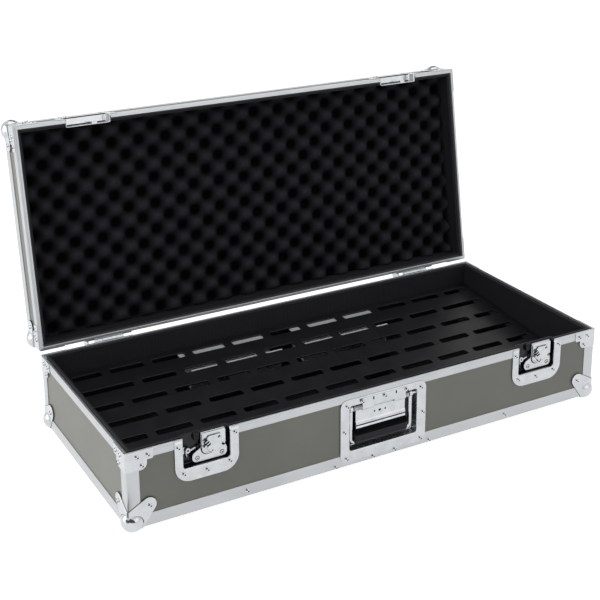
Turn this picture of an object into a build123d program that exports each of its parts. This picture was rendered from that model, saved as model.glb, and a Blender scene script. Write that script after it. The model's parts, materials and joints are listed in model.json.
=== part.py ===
from build123d import *
import math
import os

# A flight case for guitar effect pedals: a plywood base and lid in aluminium
# sections, two recessed butterfly latches, a recessed sprung handle, two stop
# hinges and a sloping slotted deck. Millimetres, +X to the right, +Y to the
# back, +Z up. The origin is the middle of the bottom panel's outer face. The
# lid is drawn closed, then turned back to rest on its hinge stops.

# ---- case ----
case_width = 944.0
case_depth = 410.0
base_height = 136.0
lid_height = 65.0
closing_gap = 0.4
lid_open_angle = 99.4

# ---- plywood, aluminium sections and foam ----
panel_thickness = 7.0
section_wall = 1.5
angle_flange = 22.0
rim_web = 6.0
rim_flange = 15.5
rim_inner_flange = 12.0
groove_width = 4.5
groove_depth = 4.5
tongue_width = 3.2
tongue_height = 3.5
lining_thickness = 5.0
lining_drop = 2.5
floor_mat_thickness = 4.0
egg_foam_thickness = 32.0
egg_foam_side_gap = 0.3
egg_foam_relief = 20.0
egg_foam_step = (27.25, 25.25)
egg_foam_start = (1.5, 7.5)
egg_foam_margin = 5.0

# ---- corner hardware ----
ball_radius = 19.0
ball_inset = 11.0
ball_plate = 1.5
ball_neck_radius = 10.0
ball_ear = (37.0, 37.0, 13.0)
ball_ear_room = 0.5
lid_wall_ear = (36.5, 22.5, 12.0)
brace_plate = 1.2
brace_arm_reach = 46.0
brace_arm_drop = 18.0
brace_arm_corner = 3.0
brace_lobe = (24.0, 23.0, 11.0)
brace_lobe_rivet = (26.5, 26.3)
lid_brace_lobe = (25.0, 19.0, 9.0)
lid_brace_lobe_rivet = (26.5, 21.0)
brace_arm_rivets = ((18.7, 9.6), (37.0, 9.6))

# ---- rivets ----
rivet_radius = 3.4
rivet_height = 1.3
edge_rivet_x = case_width / 2 - 208.0
edge_rivet_drop = 11.0

# ---- latches ----
latch_x = case_width / 2 - 138.0
dish_sheet = 1.2
latch_dish_width = 112.0
latch_dish_base_height = 77.0
latch_dish_lid_height = 40.0
latch_dish_corner = 27.0
latch_lid_dish_corner = 18.0
latch_opening_width = 82.0
latch_opening_base_height = 54.0
latch_opening_lid_height = 22.0
latch_opening_corner = 4.0
latch_recess = 14.0
cutout_clearance = 0.5
latch_rivets = ((-50.0, 13.5), (-41.5, 61.8), (-0.7, 64.5), (39.5, 59.9), (49.4, 11.0))
latch_lid_rivets = ((-48.0, 11.0), (-34.0, 31.5), (34.0, 31.5), (48.0, 11.0))
rotor_offset = 3.6
rotor_drop = 30.5
rotor_shaft_radius = 5.0
rotor_disc_radius = 10.0
rotor_disc_height = 2.5
running_clearance = 0.06
fixed_clearance = 0.02
cam_lift = 1.0
cam_thickness = 2.5
cam_hub_radius = 11.0
cam_inner_radius = 38.0
cam_outer_radius = 43.0
cam_arm_half_width = 4.5
cam_locked_angle = 94.0
cam_hook_span = 30.0
cam_turn = 90.0
plate_lift = 4.5
plate_thickness = 2.0
plate_feet = ((-21.4, -11.8), (21.0, -11.8), (13.5, 19.0))
plate_foot_radius = 3.5
plate_lobe_radius = 9.5
plate_upper_left = 16.0
plate_upper_right = 24.0
plate_upper_top = 26.5
plate_upper_corner = 4.0
plate_screw_radius = 3.2
plate_screw_height = 1.4
disc_lift = 7.0
keeper_span = (3.0, 13.0)
keeper_gap = 0.5
wing_angle = 45.0
wing_root_half = 13.0
wing_reach = 32.0
wing_half_width = 16.0
wing_corner = 4.0
wing_thickness = 2.0
wing_hole_radius = 3.5
wing_hole_offset = 21.5
wing_barrel_radius = 2.4
wing_barrel_half = 6.5
wing_pin_radius = 1.5
wing_ear_gap = 0.4
wing_ear_thickness = 2.4
wing_ear_half = 2.9

# ---- handle ----
handle_width = 174.0
handle_top_drop = 10.0
handle_dish_height = 118.0
handle_corner = 14.0
handle_opening_width = 137.0
handle_opening_top_drop = 24.0
handle_opening_height = 84.0
handle_opening_corner = 4.0
handle_recess = 16.0
handle_pivot_drop = 32.0
handle_pivot_depth = 5.0
handle_pin_radius = 2.5
handle_rod_radius = 3.2
handle_leg_x = 62.5
handle_eye_radius = 5.4
handle_reach = 52.5
handle_bend_radius = 9.0
handle_flap_half_width = 50.0
handle_flap_thickness = 2.0
handle_barrel_radius = 4.4
grip_length = 103.0
grip_height = 29.0
grip_depth = 18.0
grip_corner = 7.0
spring_inner_radius = 3.0
spring_outer_radius = 4.6
spring_length = 6.5
cover_half_width = 52.0
cover_height = 14.0
cover_top_drop = 13.0
cover_thickness = 1.8
cover_corner = 3.0
cover_rivet_x = 45.0
cover_rivet_drop = 18.0
handle_rivets = ((-79.6, 69.6), (-75.0, 121.0), (-21.5, 129.5), (22.7, 128.5),
                 (76.4, 121.3), (80.9, 71.0), (75.9, 22.0), (-74.3, 22.0))
handle_side_rivets = ((-96.0, 131.0), (96.0, 131.0))

# ---- hinges ----
hinge_x = case_width / 2 - 131.0
hinge_offset = 5.0
hinge_barrel_radius = 4.5
hinge_barrel_length = 55.0
hinge_middle_length = 27.0
hinge_knuckle_gap = 0.5
hinge_knuckle_clearance = 0.5
hinge_pin_radius = 2.25
hinge_leaf_thickness = 2.0
hinge_leaf_width = 90.0
hinge_base_leaf_height = 46.0
hinge_lid_leaf_height = 42.0
hinge_leaf_corner = 6.0
stop_ear_x = -41.0
stop_ear_thickness = 2.5
stop_ear_reach = 14.0
stop_ear_height = 26.0
stop_ear_gap = 0.15
hinge_rivet_x = 30.0

# ---- deck ----
deck_width = case_width - 42.0
deck_centre_x = 7.0
deck_centre_y = 3.0
deck_length = case_depth - 34.0
deck_back_drop = 42.0
deck_slope = 5.85
deck_sheet = 3.0
deck_lip = 12.0
slot_pitch_x = 83.0
slot_length = 66.0
slot_width = 15.0
slot_corner = 3.5
slot_row_pitch = 54.7
slot_end_margin = 20.0
slot_field_half = deck_width / 2 - 15.0
runner_leg = 30.0
runner_drop = 20.0
runner_wall = 2.0
runner_length = deck_length - 26.0
post_size = 36.0
post_x = 150.0
post_y = (-125.0, 55.0)
cradle_length = 190.0
cradle_x = (-125.0, 115.0)
cradle_sheet = 2.0
cradle_front_flange = (deck_length / 2 - 97.0, deck_length / 2 - 78.0)
cradle_back_flange = (deck_length / 2 - 32.0, deck_length / 2 - 4.0)
cradle_depth = 40.0
screw_head_radius = 4.0
screw_head_height = 2.2
deck_screw_inset = (7.0, 30.0)
deck_screw_radii = (2.2, 4.2)
deck_screw_gap = 0.1

# ---- worked out from the values above ----
half_w = case_width / 2
half_d = case_depth / 2
underside = 0.0
rim_z = underside + base_height
lid_rim_z = rim_z + closing_gap
lid_top = lid_rim_z + lid_height
rim_width = panel_thickness + 2 * section_wall
panel_out_w = half_w - section_wall
panel_out_d = half_d - section_wall
panel_in_w = panel_out_w - panel_thickness
panel_in_d = panel_out_d - panel_thickness
lining_w = panel_in_w - lining_thickness
lining_d = panel_in_d - lining_thickness
hinge_y = half_d + hinge_offset
hinge_z = rim_z + closing_gap / 2
hinge_axis = Axis((0, hinge_y, hinge_z), (1, 0, 0))
front_y = -half_d
latch_floor_y = front_y + latch_recess
handle_floor_y = front_y + handle_recess
handle_z = rim_z - handle_pivot_drop
handle_y = front_y + handle_pivot_depth
rotor_z = rim_z - rotor_drop
floor_mat_z = underside + section_wall + panel_thickness
deck_centre_z = rim_z - deck_back_drop - deck_length / 2 * math.sin(math.radians(deck_slope))
slot_rows = 2 * int((deck_length / 2 - slot_end_margin) / slot_row_pitch) + 1
slots_in_long_row = 2 * int(slot_field_half / slot_pitch_x) + 1
DECK = Location((deck_centre_x, deck_centre_y, deck_centre_z), (deck_slope, 0, 0))
CASE_SIDES = ((-1, -1), (1, -1), (1, 1), (-1, 1))


# ---- helpers ----
def block(x0, x1, y0, y1, z0, z1):
    """Box between two opposite corners."""
    size = (abs(x1 - x0), abs(y1 - y0), abs(z1 - z0))
    middle = ((x0 + x1) / 2, (y0 + y1) / 2, (z0 + z1) / 2)
    return Pos(*middle) * Box(*size)


def frame_ring(outer_w, outer_d, inner_w, inner_d, z0, z1):
    """Upright rectangular ring, given by half widths and half depths."""
    outer = block(-outer_w, outer_w, -outer_d, outer_d, z0, z1)
    return outer - block(-inner_w, inner_w, -inner_d, inner_d, z0, z1)


def four_bars(ring, band):
    """Front, back, left and right bars of a ring, butted at the corners."""
    far = half_w + case_depth
    low, high = -far, far
    inner_d = half_d - band
    cutters = (block(low, high, low, -inner_d, low, high),
               block(low, high, inner_d, high, low, high),
               block(low, 0, -inner_d, inner_d, low, high),
               block(0, high, -inner_d, inner_d, low, high))
    return [ring & cutter for cutter in cutters]


class CaseShell:
    """Base or lid: its planes when shut, and the shapes of its corner hardware."""

    def __init__(self, outer, rim, wall_ear, lobe, lobe_rivet):
        self.outer = outer
        self.rim = rim
        self.way = 1 if rim > outer else -1
        self.wall_ear = wall_ear
        self.lobe = lobe
        self.brace_rivets = (*brace_arm_rivets, lobe_rivet)

    def up(self, distance):
        """Height at a distance from the closed outer plane, towards the rim."""
        return self.outer + self.way * distance

    def down(self, distance):
        """Height at a distance from the rim plane, into the shell."""
        return self.rim - self.way * distance


BASE = CaseShell(underside, rim_z, ball_ear, brace_lobe, brace_lobe_rivet)
LID = CaseShell(lid_top, lid_rim_z, lid_wall_ear, lid_brace_lobe, lid_brace_lobe_rivet)


def solids_of(shapes):
    """Flat list of every solid in a nest of shapes."""
    found = []
    for shape in shapes:
        if isinstance(shape, (list, tuple)):
            found += solids_of(shape)
        else:
            found += list(shape.solids())
    return found


def write(name, *shapes, open_lid=False):
    """Write one node, after turning a piece of the lid to its open pose."""
    solids = solids_of(shapes)
    if open_lid:
        solids = [solid.rotate(hinge_axis, -lid_open_angle) for solid in solids]
    node = solids[0] if len(solids) == 1 else Compound(children=solids)
    export_step(node, f"parts/{name}.step")


def front_plane(y):
    """Plane that faces the front: its own x is X and its own y is Z."""
    return Plane(origin=(0, y, 0), x_dir=(1, 0, 0), z_dir=(0, -1, 0))


def front_solid(sketch, y_back, y_front):
    """A sketch drawn in X and Z, made solid between two depths."""
    return extrude(front_plane(y_back) * sketch, amount=y_back - y_front)


def rounded_box_sketch(x0, x1, z0, z1, radius):
    """Rounded rectangle between two corners, in X and Z."""
    shape = RectangleRounded(x1 - x0, z1 - z0, radius)
    return Pos((x0 + x1) / 2, (z0 + z1) / 2) * shape


def plain_box_sketch(x0, x1, z0, z1):
    """Plain rectangle between two corners, in X and Z."""
    return Pos((x0 + x1) / 2, (z0 + z1) / 2) * Rectangle(x1 - x0, z1 - z0)


def disc(x, z, radius):
    """Circle in X and Z."""
    return Pos(x, z) * Circle(radius)


def hull_of(*circles):
    """Convex outline around circles, each given as x, z and radius."""
    edges = [edge for x, z, r in circles for edge in disc(x, z, r).edges()]
    return make_hull(edges)


# ---- panels, sections and linings, the same for base and lid ----
def closed_panel(shell):
    """Large panel that closes the shell, with its edges rebated for the angle sections."""
    solid = block(-panel_in_w, panel_in_w, -panel_in_d, panel_in_d,
                  shell.up(section_wall), shell.up(section_wall + panel_thickness))
    field_w, field_d = half_w - angle_flange, half_d - angle_flange
    field = block(-field_w, field_w, -field_d, field_d, shell.up(0), shell.up(section_wall))
    ear = ball_ear[0] + ball_ear[2] + ball_ear_room
    for sx, sy in CASE_SIDES:
        field = field - block(sx * half_w, sx * (half_w - ear), sy * half_d, sy * (half_d - ear),
                              shell.up(0), shell.up(section_wall))
    return solid + field


def wall_panel(shell, side):
    """One wall panel: front, back, left or right."""
    z0, z1 = shell.up(section_wall), shell.down(rim_web)
    if side == "front":
        return block(-panel_in_w, panel_in_w, -panel_out_d, -panel_in_d, z0, z1)
    if side == "back":
        return block(-panel_in_w, panel_in_w, panel_in_d, panel_out_d, z0, z1)
    sign = -1 if side == "left" else 1
    return block(sign * panel_in_w, sign * panel_out_w, -panel_out_d, panel_out_d, z0, z1)


def edge_angles(shell):
    """Angle sections round the closed face."""
    solid = frame_ring(half_w, half_d, half_w - angle_flange, half_d - angle_flange,
                       shell.up(0), shell.up(angle_flange))
    hollow = block(-panel_out_w, panel_out_w, -panel_out_d, panel_out_d,
                   shell.up(section_wall), shell.up(angle_flange))
    return four_bars(solid - hollow, angle_flange)


def corner_angles(shell):
    """Upright angle sections at the four corners."""
    z0, z1 = shell.up(angle_flange), shell.down(rim_flange)
    ring = frame_ring(half_w, half_d, panel_out_w, panel_out_d, z0, z1)
    flange = angle_flange
    return [ring & block(sx * (half_w - flange), sx * half_w,
                         sy * (half_d - flange), sy * half_d, z0, z1)
            for sx, sy in CASE_SIDES]


def latch_gap(shell, height):
    """Room for both latch pans in the front wall, down to a distance from the rim."""
    half = latch_opening_width / 2 + dish_sheet + cutout_clearance
    z0 = shell.down(height + dish_sheet + cutout_clearance)
    z1 = shell.down(-tongue_height - 1)
    y1 = latch_floor_y + dish_sheet + cutout_clearance
    return [block(x - half, x + half, front_y - 1, y1, z0, z1) for x in (-latch_x, latch_x)]


def rim_profile(shell, mating, height):
    """Rim sections: web, two flanges and a groove or a tongue, cut at the latches."""
    web = frame_ring(half_w, half_d, half_w - rim_width, half_d - rim_width,
                     shell.down(0), shell.down(rim_web))
    outer = frame_ring(half_w, half_d, panel_out_w, panel_out_d,
                       shell.down(rim_web), shell.down(rim_flange))
    inner = frame_ring(panel_in_w, panel_in_d, panel_in_w - section_wall,
                       panel_in_d - section_wall, shell.down(rim_web),
                       shell.down(rim_inner_flange))
    middle = rim_width / 2
    half = (groove_width if mating == "groove" else tongue_width) / 2
    reach = groove_depth if mating == "groove" else -tongue_height
    ring = frame_ring(half_w - middle + half, half_d - middle + half,
                      half_w - middle - half, half_d - middle - half,
                      shell.down(0), shell.down(reach))
    profile = web + outer + inner
    profile = profile - ring if mating == "groove" else profile + ring
    bars = four_bars(profile, rim_width)
    for gap in latch_gap(shell, height):
        bars[0] = bars[0] - gap
    return bars


def wall_lining(shell, height):
    """Foam strips on the four walls, cut back behind the front hardware."""
    z0 = shell.up(section_wall + panel_thickness)
    z1 = shell.down(lining_drop)
    ring = frame_ring(panel_in_w, panel_in_d, lining_w, lining_d, z0, z1)
    rebate = frame_ring(half_w, half_d, panel_in_w - section_wall,
                        panel_in_d - section_wall, shell.down(rim_inner_flange), z1)
    bars = four_bars(ring - rebate, half_d - lining_d)
    for gap in latch_gap(shell, height):
        bars[0] = bars[0] - gap
    return bars


def handle_gap():
    """Room for the handle pan in the front wall."""
    spare = dish_sheet + cutout_clearance
    half = handle_opening_width / 2 + spare
    top = rim_z - handle_opening_top_drop
    return block(-half, half, front_y - 1, handle_floor_y + spare,
                 top - handle_opening_height - spare, top + spare)


# ---- corner hardware ----
def corner_cap(shell, sx, sy):
    """Ball corner: a ball on the outer corner with one riveted ear on each face."""
    z_out = shell.outer
    way = shell.way
    centre = (sx * (half_w - ball_inset), sy * (half_d - ball_inset), shell.up(ball_inset))
    ball = Pos(*centre) * Sphere(ball_radius)
    neck = (ball_inset, ball_inset, ball_neck_radius)
    wall_outline = hull_of(neck, shell.wall_ear)
    flat_outline = hull_of(neck, ball_ear)
    sink = section_wall
    front = Plane(origin=(sx * half_w, sy * (half_d - sink), z_out),
                  x_dir=(-sx, 0, 0), z_dir=(0, sy, 0))
    side = Plane(origin=(sx * (half_w - sink), sy * half_d, z_out),
                 x_dir=(0, -sy, 0), z_dir=(sx, 0, 0))
    flat = Plane(origin=(sx * half_w, sy * half_d, shell.up(sink)),
                 x_dir=(-sx, 0, 0), z_dir=(0, 0, -way))
    ears = []
    for plane, outline in ((front, wall_outline), (side, wall_outline), (flat, flat_outline)):
        inwards = plane.y_dir.dot(Vector(-sx, -sy, way)) > 0
        drawn = outline if inwards else mirror(outline, about=Plane.XZ)
        ears.append(extrude(plane * drawn, amount=sink + ball_plate))
    solid = ball + ears
    case = block(-panel_out_w, panel_out_w, -panel_out_d, panel_out_d,
                 shell.up(section_wall), shell.rim)
    sections = edge_angles(shell) + corner_angles(shell)
    shell_skin = block(-half_w, half_w, -half_d, half_d, shell.up(0), shell.up(angle_flange))
    ring_flat = block(-(half_w - angle_flange), half_w - angle_flange,
                      -(half_d - angle_flange), half_d - angle_flange,
                      shell.up(0), shell.up(section_wall))
    solid = solid - case - (shell_skin - ring_flat)
    for section in sections:
        solid = solid - section
    return solid


def corner_brace(shell, sx, sy):
    """Two-faced brace at a rim corner: a short arm and a lobe on each face."""
    reach, drop = brace_arm_reach, brace_arm_drop
    lobe_x, lobe_z, lobe_radius = shell.lobe
    arm = rounded_box_sketch(0, reach, 0, drop, brace_arm_corner)
    arm = arm + plain_box_sketch(0, reach / 2, 0, drop)
    leg = plain_box_sketch(0, lobe_x, 0, lobe_z + lobe_radius)
    outline = arm + leg + disc(lobe_x, lobe_z, lobe_radius)
    thickness = section_wall + brace_plate
    plates = []
    front = Plane(origin=(sx * half_w, sy * (half_d - section_wall), shell.rim),
                  x_dir=(-sx, 0, 0), z_dir=(0, sy, 0))
    side = Plane(origin=(sx * (half_w - section_wall), sy * half_d, shell.rim),
                 x_dir=(0, -sy, 0), z_dir=(sx, 0, 0))
    for plane in (front, side):
        downwards = plane.y_dir.Z * -shell.way > 0
        drawn = outline if downwards else mirror(outline, about=Plane.XZ)
        plates.append(extrude(plane * drawn, amount=thickness))
    span = sorted((shell.down(0), shell.down(lobe_z + lobe_radius)))
    post = block(sx * (half_w - section_wall), sx * (half_w + brace_plate),
                 sy * (half_d - section_wall), sy * (half_d + brace_plate), *span)
    solid = plates[0] + plates[1] + post
    for section in corner_angles(shell):
        solid = solid - section
    flange = block(-half_w, half_w, -half_d, half_d, shell.down(0), shell.down(rim_flange))
    return solid - flange


# ---- rivets ----
def rivet_dome():
    """Domed rivet head standing on the XY plane."""
    big = (rivet_radius ** 2 + rivet_height ** 2) / (2 * rivet_height)
    ball = Pos(0, 0, rivet_height - big) * Sphere(big)
    keep = Pos(0, 0, rivet_height) * Box(4 * big, 4 * big, 2 * rivet_height)
    return ball & keep


def rivet_at(point, normal):
    """Rivet head on a face, given a point of the face and its outward normal."""
    return Plane(origin=point, z_dir=normal) * rivet_dome()


def corner_rivets(shell, sx, sy):
    """Rivets of one ball corner and one brace."""
    out_y = half_d + ball_plate
    out_x = half_w + ball_plate
    along, up, _ = shell.wall_ear
    ear_x, ear_y, _ = ball_ear
    found = [rivet_at((sx * (half_w - along), sy * out_y, shell.up(up)), (0, sy, 0)),
             rivet_at((sx * out_x, sy * (half_d - along), shell.up(up)), (sx, 0, 0)),
             rivet_at((sx * (half_w - ear_x), sy * (half_d - ear_y), shell.up(-ball_plate)),
                      (0, 0, -shell.way))]
    for along, drop in shell.brace_rivets:
        z = shell.down(drop)
        found.append(rivet_at((sx * (half_w - along), sy * (half_d + brace_plate), z),
                              (0, sy, 0)))
        found.append(rivet_at((sx * (half_w + brace_plate), sy * (half_d - along), z),
                              (sx, 0, 0)))
    return found


def face_rivets(centre_x, places, drop_from, out):
    """Rivets on a front dish: places are x from its centre and depth from a height."""
    return [rivet_at((centre_x + x, front_y - out, drop_from(drop)), (0, -1, 0))
            for x, drop in places]


# ---- latches ----
def latch_dish(shell, centre_x, height, corner, open_height):
    """Half of a latch dish: riveted border and a pan that is open at the rim."""
    half = latch_dish_width / 2
    low = shell.down(height)
    z_low, z_high = sorted((low, shell.rim))
    border = rounded_box_sketch(centre_x - half, centre_x + half, z_low, z_high, corner)
    rim_half = sorted((shell.rim, shell.down(height / 2)))
    border = border + plain_box_sketch(centre_x - half, centre_x + half, *rim_half)
    open_half = latch_opening_width / 2
    far = shell.down(open_height)
    span = sorted((far, shell.down(-1)))
    opening = rounded_box_sketch(centre_x - open_half, centre_x + open_half,
                                 *span, latch_opening_corner)
    near_rim = sorted((shell.down(open_height / 2), shell.down(-1)))
    opening = opening + plain_box_sketch(centre_x - open_half, centre_x + open_half, *near_rim)
    face_y = front_y - dish_sheet
    plate = front_solid(border, front_y + section_wall, face_y)
    plate = plate - block(centre_x - half, centre_x + half, front_y, panel_out_d,
                          shell.down(0), shell.down(rim_flange))
    pan_span = sorted((shell.down(open_height + dish_sheet), shell.rim))
    pan = block(centre_x - open_half - dish_sheet, centre_x + open_half + dish_sheet,
                face_y, latch_floor_y + dish_sheet, *pan_span)
    hollow = front_solid(opening, latch_floor_y, face_y)
    return (plate + pan) - hollow


def latch_keeper(centre_x):
    """Lug on the lid's pan that the cam hook turns over."""
    boss_x = centre_x + rotor_offset
    x0, x1 = keeper_span
    top = cam_inner_radius - keeper_gap
    lug = plain_box_sketch(boss_x + x0, boss_x + x1, lid_rim_z + keeper_gap, rotor_z + top)
    lug = lug & disc(boss_x, rotor_z, top)
    return front_solid(lug, latch_floor_y, latch_floor_y - plate_lift)


def latch_solid(sketch, lift, thickness):
    """A latch piece drawn in X and Z, standing off the pan floor."""
    back = latch_floor_y - lift
    return front_solid(sketch, back, back - thickness)


def latch_plate(centre_x):
    """Mechanism plate on three feet, with screws and the bearing hole."""
    boss_x = centre_x + rotor_offset
    (left_x, left_z), (right_x, right_z) = plate_feet[:2]
    lobe = plate_lobe_radius
    lower = hull_of((left_x, left_z, lobe), (right_x, right_z, lobe), (0, 0, rotor_disc_radius))
    upper = rounded_box_sketch(-plate_upper_left, plate_upper_right, -rotor_disc_radius,
                               plate_upper_top, plate_upper_corner)
    outline = Pos(boss_x, rotor_z) * (lower + upper)
    bearing = disc(boss_x, rotor_z, rotor_shaft_radius + running_clearance)
    solid = latch_solid(outline - bearing, plate_lift, plate_thickness)
    for x, z in plate_feet:
        foot = disc(boss_x + x, rotor_z + z, plate_foot_radius)
        screw = disc(boss_x + x, rotor_z + z, plate_screw_radius)
        solid = solid + latch_solid(foot, 0, plate_lift)
        solid = solid + latch_solid(screw, plate_lift + plate_thickness, plate_screw_height)
    return solid


def wing_frame(centre_x):
    """Wing axes: origin on the pivot, x along the wing, y along the pivot, z outwards."""
    angle = math.radians(wing_angle)
    lift = disc_lift + rotor_disc_height + wing_barrel_radius + wing_ear_gap
    origin = (centre_x + rotor_offset, latch_floor_y - lift, rotor_z)
    return Plane(origin=origin, x_dir=(math.cos(angle), 0, math.sin(angle)), z_dir=(0, -1, 0))


def latch_rotor(centre_x):
    """Shaft, disc and the two ears that carry the wing."""
    boss_x = centre_x + rotor_offset
    shaft = latch_solid(disc(boss_x, rotor_z, rotor_shaft_radius), cam_lift / 2,
                        disc_lift - cam_lift / 2)
    head = latch_solid(disc(boss_x, rotor_z, rotor_disc_radius), disc_lift, rotor_disc_height)
    frame = wing_frame(centre_x)
    inner = wing_barrel_half + wing_ear_gap
    outer = inner + wing_ear_thickness
    drop = wing_barrel_radius + wing_ear_gap
    solid = shaft + head
    for side in (-1, 1):
        ear = block(-wing_ear_half, wing_ear_half, side * inner, side * outer,
                    -drop, wing_barrel_radius)
        solid = solid + frame * ear
    bore = Rot(90, 0, 0) * Cylinder(wing_pin_radius + fixed_clearance, 3 * outer)
    return solid - frame * bore


def latch_cam(centre_x):
    """Cam plate: a hub, an arm and a hook that turns up over the keeper."""
    boss = Pos(centre_x + rotor_offset, rotor_z)
    middle = (cam_inner_radius + cam_outer_radius) / 2
    start = cam_locked_angle - cam_hook_span
    hook = CenterArc((0, 0), middle, start, cam_hook_span)
    hook = trace(hook, cam_outer_radius - cam_inner_radius)
    arm = Pos(middle / 2, 0) * Rectangle(middle, 2 * cam_arm_half_width)
    arm = Rot(0, 0, cam_locked_angle) * arm
    outline = Circle(cam_hub_radius) + hook + arm
    outline = outline & Circle(cam_outer_radius)
    outline = outline - Circle(rotor_shaft_radius + fixed_clearance)
    rest = Rot(0, 0, cam_turn) * outline
    return latch_solid(boss * rest, cam_lift, cam_thickness)


def latch_wing(centre_x):
    """Folding finger wing with a barrel on the pin."""
    inner = wing_barrel_half + wing_ear_gap
    outer = inner + wing_ear_thickness
    shoulder = wing_reach - wing_half_width
    corners = [(0, -wing_root_half), (shoulder, -wing_half_width), (wing_reach, 0),
               (shoulder, wing_half_width), (0, wing_root_half)]
    outline = make_face(Polyline(*corners, close=True))
    rounded = [vertex for vertex in outline.vertices() if vertex.X > shoulder / 2]
    outline = fillet(rounded, wing_corner)
    outline = outline - disc(wing_hole_offset, 0, wing_hole_radius)
    plate = extrude(outline, amount=wing_thickness / 2, both=True)
    ear_corner = math.hypot(wing_ear_half, wing_barrel_radius)
    for side in (-1, 1):
        room = block(-wing_reach, ear_corner + wing_ear_gap,
                     side * wing_barrel_half, side * (outer + wing_ear_gap),
                     -wing_reach, wing_reach)
        plate = plate - room
    barrel = Rot(90, 0, 0) * Cylinder(wing_barrel_radius, 2 * wing_barrel_half)
    bore = Rot(90, 0, 0) * Cylinder(wing_pin_radius + running_clearance, 3 * outer)
    keep = plate + barrel - bore
    return wing_frame(centre_x) * keep


def latch_wing_pin(centre_x):
    """Pin through both ears."""
    outer = wing_barrel_half + wing_ear_gap + wing_ear_thickness
    pin = Rot(90, 0, 0) * Cylinder(wing_pin_radius, 2 * outer)
    return wing_frame(centre_x) * pin


# ---- handle ----
def handle_dish():
    """Handle dish: riveted border and a closed pan."""
    top = rim_z - handle_top_drop
    half = handle_width / 2
    open_top = rim_z - handle_opening_top_drop
    open_low = open_top - handle_opening_height
    open_half = handle_opening_width / 2
    border = rounded_box_sketch(-half, half, top - handle_dish_height, top, handle_corner)
    opening = rounded_box_sketch(-open_half, open_half, open_low, open_top,
                                 handle_opening_corner)
    face_y = front_y - dish_sheet
    plate = front_solid(border, front_y + section_wall, face_y)
    plate = plate - block(-half, half, front_y, 0, rim_z, rim_z - rim_flange)
    plate = plate - block(-half, half, front_y, 0, underside, underside + angle_flange)
    pan = block(-open_half - dish_sheet, open_half + dish_sheet, face_y,
                handle_floor_y + dish_sheet, open_low - dish_sheet, open_top + dish_sheet)
    return (plate + pan) - front_solid(opening, handle_floor_y, face_y)


def handle_cover():
    """Cover strip over the pivot, on the dish's border."""
    top = rim_z - cover_top_drop
    strip = rounded_box_sketch(-cover_half_width, cover_half_width, top - cover_height, top,
                               cover_corner)
    back = front_y - dish_sheet
    return front_solid(strip, back, back - cover_thickness)


def along_x(radius, x0, x1, y, z):
    """Round bar along X."""
    bar = Rot(0, 90, 0) * Cylinder(radius, x1 - x0)
    return Pos((x0 + x1) / 2, y, z) * bar


def handle_pin():
    """Pivot pin across the pan."""
    half = handle_opening_width / 2
    return along_x(handle_pin_radius, -half, half, handle_y, handle_z)


def handle_springs():
    """Two return springs on the pin, as plain sleeves of their outer size."""
    found = []
    gap = handle_leg_x - handle_rod_radius - handle_flap_half_width
    start = handle_flap_half_width + (gap - spring_length) / 2
    for side in (-1, 1):
        x0, x1 = sorted((side * start, side * (start + spring_length)))
        sleeve = along_x(spring_outer_radius, x0, x1, handle_y, handle_z)
        found.append(sleeve - along_x(spring_inner_radius, x0, x1, handle_y, handle_z))
    return found


def handle_bail():
    """Bent rod with an eye round the pin at each end."""
    low = handle_z - handle_reach
    points = [(-handle_leg_x, handle_y, handle_z), (-handle_leg_x, handle_y, low),
              (handle_leg_x, handle_y, low), (handle_leg_x, handle_y, handle_z)]
    path = FilletPolyline(*points, radius=handle_bend_radius)
    section = Plane(origin=points[0], z_dir=(0, 0, -1)) * Circle(handle_rod_radius)
    solid = sweep(section, path=path)
    bore_radius = handle_pin_radius + running_clearance
    for side in (-1, 1):
        x0, x1 = sorted((side * (handle_leg_x - handle_rod_radius),
                         side * (handle_leg_x + handle_rod_radius)))
        solid = solid + along_x(handle_eye_radius, x0, x1, handle_y, handle_z)
    return solid - along_x(bore_radius, -handle_width, handle_width, handle_y, handle_z)


def handle_flap():
    """Flat flap from the pin down into the grip."""
    half = handle_flap_half_width
    thick = handle_flap_thickness / 2
    low = handle_z - handle_reach + handle_rod_radius + running_clearance
    sheet = block(-half, half, handle_y - thick, handle_y + thick, low, handle_z)
    barrel = along_x(handle_barrel_radius, -half, half, handle_y, handle_z)
    bore = along_x(handle_pin_radius + running_clearance, -half - 1, half + 1,
                   handle_y, handle_z)
    return sheet + barrel - bore


def handle_grip():
    """Rubber grip moulded round the rod and the flap's lower edge."""
    low = handle_z - handle_reach
    half = grip_length / 2
    section = Plane(origin=(-half, handle_y, low), x_dir=(0, 1, 0), z_dir=(1, 0, 0))
    outline = RectangleRounded(grip_depth, grip_height, grip_corner)
    solid = extrude(section * outline, amount=grip_length)
    rod = along_x(handle_rod_radius + fixed_clearance, -half - 1, half + 1, handle_y, low)
    thick = handle_flap_thickness / 2
    slit = block(-handle_flap_half_width, handle_flap_half_width, handle_y - thick,
                 handle_y + thick, low, handle_z)
    return solid - rod - slit


# ---- hinges ----
def knuckle_room(centre_x, inner, radius, margin):
    """Cylinders round the axis, over the middle knuckle or over the two outer ones."""
    mid = hinge_middle_length / 2
    end = hinge_barrel_length / 2
    if inner:
        spans = ((-mid, mid),)
    else:
        gap = hinge_knuckle_gap
        spans = ((-end, -mid - gap), (mid + gap, end))
    room = [along_x(radius, centre_x + a - margin, centre_x + b + margin, hinge_y, hinge_z)
            for a, b in spans]
    return room


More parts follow.
